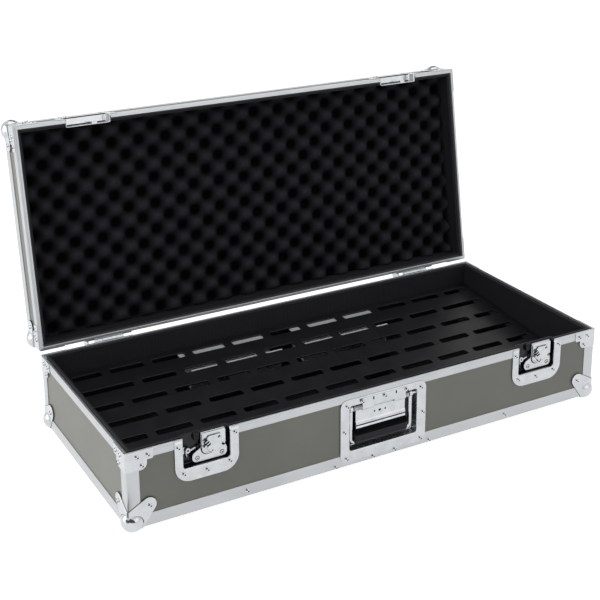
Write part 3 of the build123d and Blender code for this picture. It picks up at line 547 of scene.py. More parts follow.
# ---------------------------------------------------------------- finishes
class NodeSheet:
    """A material's node tree with its main shader ready to be fed."""

    def __init__(self, name: str, colour: Sequence[float], roughness: float,
                 metallic: float = 0.0, specular: float = 0.5) -> None:
        """Starts a material.

        Args:
            name: name of the material.
            colour: linear base colour.
            roughness: roughness of the surface.
            metallic: 0 for paint, wood and foam, towards 1 for bare metal.
            specular: strength of the clear reflection.
        """
        self.material = bpy.data.materials.new(name)
        self.material.use_nodes = True
        self.tree = self.material.node_tree
        self.shader = self.tree.nodes["Principled BSDF"]
        self.shader.inputs["Base Color"].default_value = (*colour, 1.0)
        self.shader.inputs["Roughness"].default_value = roughness
        self.shader.inputs["Metallic"].default_value = metallic
        self.shader.inputs["Specular IOR Level"].default_value = specular
        self.place = self.node("ShaderNodeTexCoord").outputs["Object"]

    def node(self, kind: str, **values: object) -> bpy.types.Node:
        """Adds a node and sets its properties or inputs.

        Args:
            kind: name of the node's type.
            values: properties by name, or inputs by name with spaces as underscores.

        Returns:
            The node.
        """
        made = self.tree.nodes.new(kind)
        for key, value in values.items():
            label = key.replace("_", " ")
            if label in made.inputs:
                made.inputs[label].default_value = value
            else:
                setattr(made, key, value)
        return made

    def link(self, source: Socket, target: Socket) -> None:
        """Joins two sockets."""
        self.tree.links.new(source, target)

    def noise(self, scale: float, detail: float) -> Socket:
        """Noise in the part's own coordinates.

        Args:
            scale: waves in a metre.
            detail: octaves.

        Returns:
            The factor socket.
        """
        made = self.node("ShaderNodeTexNoise", Scale=scale, Detail=detail)
        self.link(self.place, made.inputs["Vector"])
        return made.outputs["Fac"]

    def maths(self, kind: str, first: Socket,
              second: Optional[Socket] = None) -> Socket:
        """Result of an operation on one or two sockets.

        Args:
            kind: name of the operation.
            first: first value.
            second: second value, if the operation has one.

        Returns:
            The result's socket.
        """
        made = self.node("ShaderNodeMath", operation=kind)
        self.link(first, made.inputs[0])
        if second is not None:
            self.link(second, made.inputs[1])
        return made.outputs[0]

    def spread(self, source: Socket, low: float, high: float,
               from_low: float = 0.3, from_high: float = 0.7) -> Socket:
        """Maps a factor to a range of values.

        Args:
            source: the factor.
            low: result at the low end.
            high: result at the high end.
            from_low: factor of the low end.
            from_high: factor of the high end.

        Returns:
            The result's socket.
        """
        made = self.node("ShaderNodeMapRange", From_Min=from_low, From_Max=from_high,
                         To_Min=low, To_Max=high)
        self.link(source, made.inputs["Value"])
        return made.outputs["Result"]

    def ramp(self, source: Socket, stops: Sequence[tuple]) -> Socket:
        """Colour ramp over a factor.

        Args:
            source: the factor.
            stops: rows of position and linear colour.

        Returns:
            The colour socket.
        """
        made = self.node("ShaderNodeValToRGB")
        elements = made.color_ramp.elements
        for index, (position, colour) in enumerate(stops):
            entry = elements[index] if index < 2 else elements.new(position)
            entry.position = position
            entry.color = (*colour, 1.0)
        self.link(source, made.inputs["Fac"])
        return made.outputs["Color"]

    def tint(self, source: Socket, stops: Sequence[tuple]) -> None:
        """Colours the surface by a ramp over a factor."""
        self.link(self.ramp(source, stops), self.shader.inputs["Base Color"])

    def wear(self, source: Socket, low: float, high: float) -> None:
        """Spreads the roughness between two values by a factor."""
        self.link(self.spread(source, low, high), self.shader.inputs["Roughness"])

    def bump(self, height: Socket, depth: float, strength: float = 1.0,
             under: Optional[Socket] = None) -> Socket:
        """Bump from a height, on top of another bump if there is one.

        Args:
            height: the height as a factor.
            depth: rise in metres of a factor of one.
            strength: how much of the bump shows.
            under: the bump beneath it.

        Returns:
            The normal's socket.
        """
        made = self.node("ShaderNodeBump", Strength=strength, Distance=depth)
        self.link(height, made.inputs["Height"])
        if under is not None:
            self.link(under, made.inputs["Normal"])
        self.link(made.outputs["Normal"], self.shader.inputs["Normal"])
        return made.outputs["Normal"]


def shade(colour: Sequence[float], *factors: float) -> tuple:
    """A colour with each channel multiplied by its own factor, or all by the same one."""
    return tuple(np.multiply(colour, factors).tolist())


@dataclass(frozen=True)
class Laminate:
    """Grey phenolic laminate with a fine satin grain and faint clouding."""

    colour: tuple = (0.225, 0.222, 0.19)
    roughness: float = 0.42

    def material(self) -> Material:
        """Builds the material."""
        sheet = NodeSheet("grey_laminate", self.colour, self.roughness)
        sheet.tint(sheet.noise(9.0, 4.0), [(0.3, shade(self.colour, 0.93)),
                                           (0.7, shade(self.colour, 1.06, 1.06, 1.07))])
        grain = sheet.noise(1500.0, 2.0)
        sheet.wear(grain, self.roughness - 0.05, self.roughness + 0.07)
        sheet.bump(grain, 0.00005, 0.5)
        return sheet.material


@dataclass(frozen=True)
class Aluminium:
    """Natural anodised extrusion with a faint haze and a fine grain."""

    name: str = "anodised_aluminium"
    colour: tuple = (0.575, 0.585, 0.598)
    roughness: float = 0.36
    metallic: float = 0.75

    def material(self) -> Material:
        """Builds the material."""
        sheet = NodeSheet(self.name, self.colour, self.roughness, self.metallic)
        sheet.tint(sheet.noise(16.0, 4.0), [(0.3, shade(self.colour, 0.92, 0.925, 0.93)),
                                            (0.7, self.colour)])
        sheet.wear(sheet.noise(420.0, 3.0), self.roughness - 0.07, self.roughness + 0.08)
        sheet.bump(sheet.noise(1300.0, 2.0), 0.00004, 0.35)
        return sheet.material


@dataclass(frozen=True)
class ZincPlate:
    """Bright zinc plate on pressed steel: smooth, with a slight orange peel."""

    name: str = "bright_zinc"
    colour: tuple = (0.59, 0.603, 0.617)
    roughness: float = 0.2
    metallic: float = 0.88
    peel: float = 0.00006

    def material(self) -> Material:
        """Builds the material."""
        sheet = NodeSheet(self.name, self.colour, self.roughness, self.metallic)
        sheet.tint(sheet.noise(60.0, 5.0), [(0.28, shade(self.colour, 0.86, 0.87, 0.88)),
                                            (0.62, self.colour)])
        sheet.wear(sheet.noise(230.0, 4.0), self.roughness - 0.06, self.roughness + 0.1)
        sheet.bump(sheet.noise(420.0, 2.0), self.peel, 0.5)
        return sheet.material


@dataclass(frozen=True)
class BlackCoat:
    """Black powder coat or rubber: broad patches of roughness over a fine orange peel.

    The patches are their scale, detail and the roughness they take and add. The peel is
    its scale, depth and strength.
    """

    name: str = "black_powder_coat"
    colour: tuple = (0.0062, 0.0064, 0.0078)
    roughness: float = 0.4
    specular: float = 0.3
    patches: tuple = (24.0, 4.0, 0.04, 0.06)
    peel: tuple = (900.0, 0.00006, 0.45)

    def material(self) -> Material:
        """Builds the material."""
        sheet = NodeSheet(self.name, self.colour, self.roughness, specular=self.specular)
        scale, detail, less, more = self.patches
        sheet.wear(sheet.noise(scale, detail), self.roughness - less, self.roughness + more)
        fine, depth, strength = self.peel
        sheet.bump(sheet.noise(fine, 2.0), depth, strength)
        return sheet.material


@dataclass(frozen=True)
class WovenLining:
    """Black lining foam whose face is embossed with a small diamond weave."""

    name: str = "woven_lining"
    colour: tuple = (0.0145, 0.0145, 0.0172)
    pitch: float = 0.0062

    def material(self) -> Material:
        """Builds the material: the weave is the product of a sine wave on each diagonal."""
        sheet = NodeSheet(self.name, self.colour, 0.62, specular=0.2)
        split = sheet.node("ShaderNodeSeparateXYZ")
        sheet.link(sheet.place, split.inputs["Vector"])
        flat = sheet.maths("ADD", split.outputs["X"], split.outputs["Y"])
        waves = []
        for kind in ("ADD", "SUBTRACT"):
            scaled = sheet.node("ShaderNodeMath", operation="MULTIPLY")
            scaled.inputs[1].default_value = 2 * math.pi / self.pitch
            sheet.link(sheet.maths(kind, flat, split.outputs["Z"]), scaled.inputs[0])
            waves.append(sheet.maths("SINE", scaled.outputs[0]))
        weave = sheet.maths("MULTIPLY", *waves)
        sheet.tint(sheet.spread(weave, 0.0, 1.0, -1.0, 1.0),
                   [(0.25, shade(self.colour, 0.55)), (0.8, shade(self.colour, 1.9))])
        low = sheet.bump(weave, 0.0005, 0.6)
        sheet.bump(sheet.noise(1600.0, 2.0), 0.0001, 0.4, low)
        return sheet.material


@dataclass(frozen=True)
class SoftFoam:
    """Open-cell black foam with painted shade in its pits and painted light on its peaks.

    The relief is the mesh's own attribute, 0 in the pits and 1 on the peaks.
    """

    name: str = "egg_crate_foam"
    pit: tuple = (0.0008, 0.0008, 0.001)
    slope: tuple = (0.0125, 0.012, 0.0148)
    peak: tuple = (0.036, 0.035, 0.042)

    def material(self) -> Material:
        """Builds the material."""
        sheet = NodeSheet(self.name, self.slope, 0.95, specular=0.06)
        relief = sheet.node("ShaderNodeAttribute", attribute_name="relief")
        # The ramp paints shade into the pits and light onto the peaks.
        tint = sheet.ramp(relief.outputs["Fac"], [(0.2, self.pit), (0.4, self.slope),
                                                  (0.88, self.peak)])
        cells = sheet.noise(700.0, 3.0)
        mottled = sheet.node("ShaderNodeVectorMath", operation="SCALE")
        sheet.link(tint, mottled.inputs[0])
        sheet.link(sheet.spread(cells, 0.7, 1.3), mottled.inputs["Scale"])
        sheet.link(mottled.outputs["Vector"], sheet.shader.inputs["Base Color"])
        sheet.bump(cells, 0.0006, 0.55)
        return sheet.material


class Finishes:
    """Every finish of the case, each built once."""

    def __init__(self) -> None:
        """Builds the materials."""
        self.laminate = Laminate().material()
        self.section = Aluminium().material()
        self.zinc = ZincPlate().material()
        self.polished = ZincPlate("polished_zinc", roughness=0.1, peel=0.00003).material()
        self.rivet = ZincPlate("rivet_zinc", (0.66, 0.67, 0.68), 0.16).material()
        self.steel = ZincPlate("bright_steel", (0.62, 0.63, 0.65), 0.28).material()
        # Near-black steel for painted shade: inside the pans, on the hooks' ends and in the
        # springs' cores.
        self.dark_steel = BlackCoat("painted_shade_steel", (0.006, 0.0065, 0.009), 0.24).material()
        # Black for painted shade in slots, gaps and grooves and on the grip's top, painted
        # reflections on the rivets, and the set marks.
        self.shadow = BlackCoat("shade_and_mark_black", (0.003, 0.003, 0.004), 0.8, 0.05).material()
        # Dark grey for the rim's inner side, a painted reflection of the dark foam.
        self.foam_reflection = BlackCoat("painted_foam_reflection", (0.03, 0.031, 0.036), 0.5).material()
        self.cradle = Aluminium("mill_sheet", (0.86, 0.87, 0.89), 0.42, 0.45).material()
        self.powder = BlackCoat().material()
        self.lining = WovenLining().material()
        self.mat = WovenLining("floor_mat", (0.008, 0.008, 0.009)).material()
        self.foam = SoftFoam().material()
        self.rubber = BlackCoat("grip_rubber", (0.0085, 0.0085, 0.012), 0.34, 0.2,
                                (90.0, 3.0, 0.06, 0.1), (1200.0, 0.00008, 0.5)).material()


# ---------------------------------------------------------------- the case's own sizes
@dataclass
class CaseSizes:
    """Main planes of the case with its lid shut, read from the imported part."""

    section: float = 1.5
    lid_height: float = 65.0
    gap: float = 0.4
    half_w: float = field(init=False)
    half_d: float = field(init=False)
    rim: float = field(init=False)
    hinge_y: float = field(init=False)
    hinge_z: float = field(init=False)
    open_angle: float = field(init=False)

    def __post_init__(self) -> None:
        """Reads the planes and the hinge."""
        outer = box_mm("base_bottom_angles")
        self.half_w, self.half_d = float(outer[1][0]), float(outer[1][1])
        self.rim = float(box_mm("base_rim_profile")[1][2])
        hinge = next(j for j in frame["joints"] if j["name"] == "lid_hinge")
        self.hinge_y, self.hinge_z = (value / MM for value in hinge["pos_m"][1:])
        self.open_angle = math.radians(-hinge["range_deg"][1])

    @property
    def lid_rim(self) -> float:
        """Height of the lid's rim when shut."""
        return self.rim + self.gap

    @property
    def lid_top(self) -> float:
        """Height of the lid's outer face when shut."""
        return self.lid_rim + self.lid_height

    def opened(self, points: Array) -> Array:
        """Points of the shut lid turned back about the hinge line.

        Args:
            points: array of shape (n, 3).

        Returns:
            Array of the same shape.
        """
        y, z = points[:, 1] - self.hinge_y, points[:, 2] - self.hinge_z
        c, s = math.cos(self.open_angle), math.sin(self.open_angle)
        return np.stack([points[:, 0], self.hinge_y + c * y - s * z,
                         self.hinge_z + s * y + c * z], axis=1)


@dataclass
class Shell:
    """Base or lid: where its closed face and rim lie, and what carries it."""

    sizes: CaseSizes
    body: Body

    @property
    def name(self) -> str:
        """First word of the names of its nodes."""
        return self.body.value

    @property
    def outer(self) -> float:
        """Height of its closed face."""
        return 0.0 if self.body is Body.BASE else self.sizes.lid_top

    @property
    def rim(self) -> float:
        """Height of its rim."""
        return self.sizes.rim if self.body is Body.BASE else self.sizes.lid_rim

    @property
    def way(self) -> int:
        """Direction from the closed face to the rim."""
        return 1 if self.body is Body.BASE else -1

    def down(self, distance: Array) -> Array:
        """Height at a distance below the rim, into the shell."""
        return self.rim - self.way * distance

    def up(self, distance: Array) -> Array:
        """Height at a distance from the closed face, towards the rim."""
        return self.outer + self.way * distance

    def settled(self, surface: Surface) -> Surface:
        """The surface in the pose at rest: the lid's pieces are turned back."""
        return surface if self.body is Body.BASE else surface.mapped(self.sizes.opened)

    def wall(self, side: str, level: Callable) -> Place:
        """Places a bar section: distance along a wall, depth inwards and a level.

        Args:
            side: front, back, left or right.
            level: turns the second section coordinate into a height.

        Returns:
            The place function.
        """
        w, d = self.sizes.half_w, self.sizes.half_d
        sign = -1 if side in ("front", "left") else 1
        if side in ("front", "back"):
            return lambda a, u, v: np.stack([a, sign * (d - u), level(v)], axis=-1)
        return lambda a, u, v: np.stack([sign * (w - u), a, level(v)], axis=-1)


@dataclass
class Sections:
    """Aluminium sections along all edges of a shell."""

    shell: Shell
    outer_flange: float = 15.5
    inner_flange: float = 12.0
    web: float = 6.0
    width: float = 10.0
    groove: tuple = (2.75, 7.25, 4.5)
    tongue: tuple = (3.4, 6.6, 3.5)
    seam: tuple = (0.55, 4.6, 0.6)
    flange: float = 22.0
    latch_x: float = 334.0
    latch_half: float = 42.7
    mitre_gap: float = 0.02
    # Inward distance from which the rim is painted dark grey, a painted reflection of the foam.
    foam_reflection_from: dict = field(default_factory=lambda: {Body.BASE: 5.3, Body.LID: 6.7})

    def rim_section(self) -> Array:
        """Section of the rim: two flanges, a grooved or tongued web and a seam outside."""
        t = self.shell.sizes.section
        depth, level, half = self.seam
        points = [(0, self.outer_flange), (0, level + half), (depth, level), (0, level - half),
                  (0, 0)]
        radii = [0.5, 0.1, 0.1, 0.1, 0.9]
        if self.shell.body is Body.BASE:
            a, b, low = self.groove
            points += [(a, 0), (a, low), (b, low), (b, 0)]
            radii += [0.45, 0.3, 0.3, 0.45]
        else:
            a, b, high = self.tongue
            points += [(a, 0), (a, -high), (b, -high), (b, 0)]
            radii += [0.4, 0.5, 0.5, 0.4]
        points += [(self.width, 0), (self.width, self.inner_flange),
                   (self.width - t, self.inner_flange), (self.width - t, self.web),
                   (t, self.web), (t, self.outer_flange)]
        radii += [0.9, 0.5, 0.3, 0.8, 0.8, 0.3]
        return rounded(points, radii, 4)

    def angle_section(self, outer: float) -> Array:
        """Section of an angle.

        Args:
            outer: rounding of its outer corner.

        Returns:
            The closed outline.
        """
        t, f = self.shell.sizes.section, self.flange
        return rounded([(0, 0), (f, 0), (f, t), (t, t), (t, f), (0, f)],
                       [outer, 0.5, 0.4, 0.8, 0.4, 0.5], 5)

    def bars(self, section: Array, level: Callable) -> list[Surface]:
        """Four bars of one section, mitred at the corners.

        Args:
            section: outline of inward and level coordinates.
            level: turns the level coordinate into a height.

        Returns:
            Front, back, left and right bars.
        """
        w, d = self.shell.sizes.half_w, self.shell.sizes.half_d
        found = []
        for side, half in (("front", w), ("back", w), ("left", d), ("right", d)):
            end = half - section[:, 0] - self.mitre_gap
            found.append(bar(section, self.shell.wall(side, level), -end, end))
        return found

    def rim(self) -> Surface:
        """Rim bars, with the front one in three lengths between the latches."""
        section = self.rim_section()
        found = self.bars(section, self.shell.down)[1:]
        place = self.shell.wall("front", self.shell.down)
        end = self.shell.sizes.half_w - section[:, 0] - self.mitre_gap
        inner, outer = (np.full(len(section), self.latch_x + a * self.latch_half) for a in (-1, 1))
        found += [bar(section, place, low, high)
                  for low, high in ((-end, -outer), (-inner, inner), (outer, end))]
        return join(found)

    def edge(self) -> Surface:
        """Angle sections round the closed face."""
        return join(self.bars(self.angle_section(2.0), self.shell.up))

    def upright(self) -> Surface:
        """Angle sections up the four corners."""
        w, d = self.shell.sizes.half_w, self.shell.sizes.half_d
        outline, play = self.angle_section(2.2), 0.05
        low, high = self.shell.up(self.flange + play), self.shell.down(self.outer_flange + play)
        still = np.zeros(len(outline))
        return join([bar(outline, lambda a, u, v, sx=sx, sy=sy: np.stack(
            [sx * (w - u), sy * (d - v), a], axis=-1), still + low, still + high)
            for sx, sy in CORNERS])

    def foam_reflection(self, surface: Surface, finish: Material) -> Coat:
        """Dark grey painted on the rim's inner side, from the groove or tongue inwards: a painted
        reflection of the dark foam in the aluminium.

        Args:
            surface: bars of the shut rim.
            finish: the strip's finish.

        Returns:
            The coat on the strip's faces.
        """
        middles = np.abs(surface.middles())
        inward = np.minimum(self.shell.sizes.half_w - middles[:, 0],
                            self.shell.sizes.half_d - middles[:, 1])
        return Coat(finish, inward > self.foam_reflection_from[self.shell.body])

    def build(self, finishes: Finishes) -> None:
        """Makes the three sets of sections.

        Args:
            finishes: finishes of the case.
        """
        name, body, settled = self.shell.name, self.shell.body, self.shell.settled
        flat = "bottom" if body is Body.BASE else "top"
        rim = self.rim()
        build(f"{name}_rim_section", settled(rim), finishes.section, body,
              [f"{name}_rim_profile"], 30, self.foam_reflection(rim, finishes.foam_reflection))
        build(f"{name}_edge_section", settled(self.edge()), finishes.section, body,
              [f"{name}_{flat}_angles"], 30)
        build(f"{name}_upright_section", settled(self.upright()), finishes.section, body,
              [f"{name}_corner_angles"], 30)


@dataclass
class EggCrate:
    """Convoluted foam in the lid: staggered peaks over a flat back."""

    sizes: CaseSizes
    half_x: float = 457.5
    half_y: float = 190.7
    back: float = 8.5
    thickness: float = 32.0
    relief: float = 21.0
    pitch: tuple = (53.95, 50.15)
    phase: tuple = (7.0, 3.9)
    lean: float = 0.055
    turn: float = 0.0116
    step: float = 2.6
    edge: float = 3.0
    border_relief: float = 0.35
    border_fall: float = 1.6
    sharpness: float = 1.15

    def surface(self) -> tuple[Surface, Array]:
        """Height field of cos(2 pi u / pu) cos(2 pi v / pv), sharpened towards round pits.

        The sheet was cut a little askew, so u leans with the height in the lid and v
        turns with the width. The wave is raised to a power, so that the peaks stay broad
        and the pits narrow, and the border falls straight to the back.

        Returns:
            The surface, and how high each point lies between the pits and the peaks.
        """
        nx, ny = int(2 * self.half_x / self.step), int(2 * self.half_y / self.step)
        x = np.linspace(-self.half_x, self.half_x, nx)
        y = np.linspace(-self.half_y, self.half_y, ny)
        gx, gy = np.meshgrid(x, y, indexing="xy")
        u = gx + self.lean * gy - self.phase[0]
        v = self.sizes.hinge_y - gy + self.turn * gx - self.phase[1]
        wave = (np.cos(2 * np.pi * u / self.pitch[0])
                * np.cos(2 * np.pi * v / self.pitch[1]))
        depth = ((1 - wave) / 2) ** self.sharpness
        height = self.thickness - self.relief * depth
        rest = np.minimum(self.half_x - np.abs(gx), self.half_y - np.abs(gy))
        height = height - self.border_fall * np.clip(1 - rest / self.edge, 0, 1) ** 2
        top = self.sizes.lid_top - self.back
        face = np.stack([gx, gy, top - height], axis=-1).reshape(-1, 3)
        rim = np.concatenate([np.arange(nx), np.arange(1, ny) * nx + nx - 1,
                              (ny - 1) * nx + np.arange(nx - 2, -1, -1),
                              np.arange(ny - 2, 0, -1) * nx])
        low = face[rim]
        low[:, 2] = top
        seat = np.arange(len(face), len(face) + len(rim))
        skirt = np.stack([seat, np.roll(seat, -1), np.roll(rim, -1), rim], axis=1)
        quads = np.concatenate([grid_quads(ny, nx, False), skirt])
        relief = np.concatenate([((1 + wave) / 2).reshape(-1),
                                 np.full(len(rim), self.border_relief)])
        return Surface(np.concatenate([face, low]), quads, [seat.tolist()]).outward(), relief

    def build(self, finishes: Finishes) -> None:
        """Makes the foam pad.

        Args:
            finishes: finishes of the case.
        """
        surface, relief = self.surface()
        pad = build("egg_crate_pad", surface.mapped(self.sizes.opened), finishes.foam,
                    Body.LID, ["lid_egg_crate_foam"], 60)
        # The relief attribute sets the foam's painted shade and light.
        depth = pad.data.attributes.new("relief", "FLOAT", "POINT")
        depth.data.foreach_set("value", relief.astype(np.float32))


@dataclass
class Deck:
    """Sloping sheet with staggered slots whose edges are broken, over folded lips."""

    sizes: CaseSizes
    side_gap: float = 21.0
    end_gap: float = 17.0
    centre: tuple = (7.0, 3.0)
    back_drop: float = 42.0
    slope: float = math.radians(5.85)
    sheet: float = 3.0
    lip: float = 12.0
    broken: float = 0.8
    slot: tuple = (66.0, 15.0)
    corner: float = 3.5
    pitch: tuple = (83.0, 54.7)
    row_margin: float = 20.0
    field_margin: float = 15.0
    screw_inset: tuple = (7.0, 30.0)
    screw_room: float = 4.35

    @property
    def half(self) -> tuple[float, float]:
        """Half of the sheet's width and length."""
        return self.sizes.half_w - self.side_gap, self.sizes.half_d - self.end_gap

    def place(self, x: Array, s: Array, h: Array) -> Array:
        """Places drawings on the sheet's lower face, across, up the slope and out of it.

        Args:
            x: distances across.
            s: distances up the slope.
            h: heights over the lower face.

        Returns:
            Array of shape (n, 3).
        """
        c, w = math.cos(self.slope), math.sin(self.slope)
        z0 = self.sizes.rim - self.back_drop - self.half[1] * w
        h = h - self.sheet
        return np.stack([self.centre[0] + x, self.centre[1] + s * c - h * w,
                         z0 + s * w + h * c], axis=-1)

    def slots(self) -> list[Array]:
        """Outlines of the slots: long and short rows in turn, up to the field's sides."""
        half_x, half_s = self.half
        limit = half_x - self.field_margin
        length, width = self.slot
        step_x, step_s = self.pitch
        rows = 2 * int((half_s - self.row_margin) / step_s) + 1
        most = 2 * int(limit / step_x) + 1
        found = []
        for row in range(rows):
            s = (row - (rows - 1) / 2) * step_s
            count = most - row % 2
            middles = (np.arange(count) - (count - 1) / 2) * step_x
            low, high = middles - length / 2, middles + length / 2
            if row % 2:
                low[0], high[-1] = -limit, limit
            low, high = np.maximum(low, -limit), np.minimum(high, limit)
            found += [rounded_box(a, b, s - width / 2, s + width / 2, self.corner, 5)
                      for a, b in zip(low, high)]
        return found

    def build(self, finishes: Finishes) -> None:
        """Makes the sheet with its two lips.

        Args:
            finishes: finishes of the case.
        """
        half_x, half_s = self.half
        x, s = half_x - self.screw_inset[0], half_s - self.screw_inset[1]
        room = [circle(a * x, b * s, self.screw_room, 20) for a, b in CORNERS]
        parts = [plate(rounded_box(-half_x, half_x, -half_s, half_s, 1.0, 3), self.sheet,
                       self.place, self.broken, self.slots() + room)]
        for low in (-half_s, half_s - self.sheet):
            section = rounded_box(low, low + self.sheet, -self.lip + self.sheet, 0.05, 0.4, 3)
            end = np.full(len(section), half_x)
            parts.append(bar(section, self.place, -end, end))
        build("slotted_sheet", join(parts), finishes.powder, Body.BASE, ["deck_plate"], 30)


# ---------------------------------------------------------------- riveted hardware
@dataclass
class Rivets:
    """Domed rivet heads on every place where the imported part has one."""

    node: str
    body: Body
    radius: float = 3.5
    height: float = 1.7
    # Offset and radius of the two dark spots in each crown, painted reflections.
    mark: tuple = (1.95, 1.55)
    foot: float = 0.05

    def places(self) -> tuple[Array, Array]:
        """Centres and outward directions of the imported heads.

        The heads are the loose parts of the node. Point labels spread along the edges
        until they settle, and the flattest direction of each part is its axis.
        """
        mesh = frame["nodes"][self.node].data
        points = np.zeros(len(mesh.vertices) * 3)
        mesh.vertices.foreach_get("co", points)
        points = points.reshape(-1, 3) / MM
        _, same = np.unique(np.round(points, 2), axis=0, return_inverse=True)
        same = same.reshape(-1)
        edges = np.zeros(len(mesh.edges) * 2, dtype=np.int32)
        mesh.edges.foreach_get("vertices", edges)
        edges = same[edges.reshape(-1, 2)]
        label = np.arange(same.max() + 1)
        for _ in range(400):
            low = np.minimum(label[edges[:, 0]], label[edges[:, 1]])
            fresh = label.copy()
            np.minimum.at(fresh, edges[:, 0], low)
            np.minimum.at(fresh, edges[:, 1], low)
            fresh = fresh[fresh]
            if (fresh == label).all():
                break
            label = fresh
        owner = label[same]
        middle = (points.min(axis=0) + points.max(axis=0)) / 2
        centres, ways = [], []
        for part in np.unique(owner):
            cloud = np.unique(np.round(points[owner == part], 3), axis=0)
            centre = cloud.mean(axis=0)
            _, _, axes = np.linalg.svd(cloud - centre)
            way = axes[2] * (1 if axes[2] @ (centre - middle) > 0 else -1)
            lift = (cloud - centre) @ way
            centres.append(cloud[lift < lift.min() + self.foot].mean(axis=0))
            ways.append(way)
        return np.array(centres), np.array(ways)

    def surface(self) -> tuple[Surface, Array]:
        """Heads with a rounded rim and a shallow dome, and two dark spots in each crown: painted
        reflections.

        Returns:
            The surface, and which of its faces belong to the painted reflection spots.
        """
        r, h = self.radius, self.height
        profile = [(r, 0.0), (0.95 * r, 0.45 * h), (0.72 * r, 0.82 * h), (0.36 * r, h),
                   (0.05 * r, 1.02 * h)]
        offset, wide = self.mark
        deep = [(wide, 0.4 * h), (wide, 0.95 * h), (0.6 * wide, 1.06 * h)]
        heads, marks = [], []
        for centre, way in zip(*self.places()):
            level = np.cross(way, [0.0, 0.0, 1.0] if abs(way[2]) < 0.7 else [0.0, 1.0, 0.0])
            side = level - np.cross(way, level)
            side /= np.linalg.norm(side)
            over = np.cross(way, side)

            def place(a: Array, b: Array, c: Array, origin: Array = centre,
                      s: Array = side, v: Array = over,
                      n: Array = way) -> Array:
                """Places a drawing on one head."""
                return origin + a[:, None] * s + b[:, None] * v + c[:, None] * n
            heads.append(lathe(profile, place, (0, 0), 12))
            marks += [lathe(deep, place, (a, 0), 7) for a in (-offset, offset)]
        parts = heads + marks
        is_mark = np.arange(len(parts)) >= len(heads)
        dark = np.concatenate([np.repeat(is_mark, [len(part.quads) for part in parts]),
                               np.repeat(is_mark, [len(part.polygons) for part in parts])])
        return join(parts), dark

    def build(self, finishes: Finishes) -> None:
        """Makes the heads as one piece.

        Args:
            finishes: finishes of the case.
        """
        surface, dark = self.surface()
        # The dark spots on the crowns are painted reflections.
        build(f"{self.body.value}_rivet_heads", surface, finishes.rivet, self.body,
              [self.node], 50, Coat(finishes.shadow, dark))


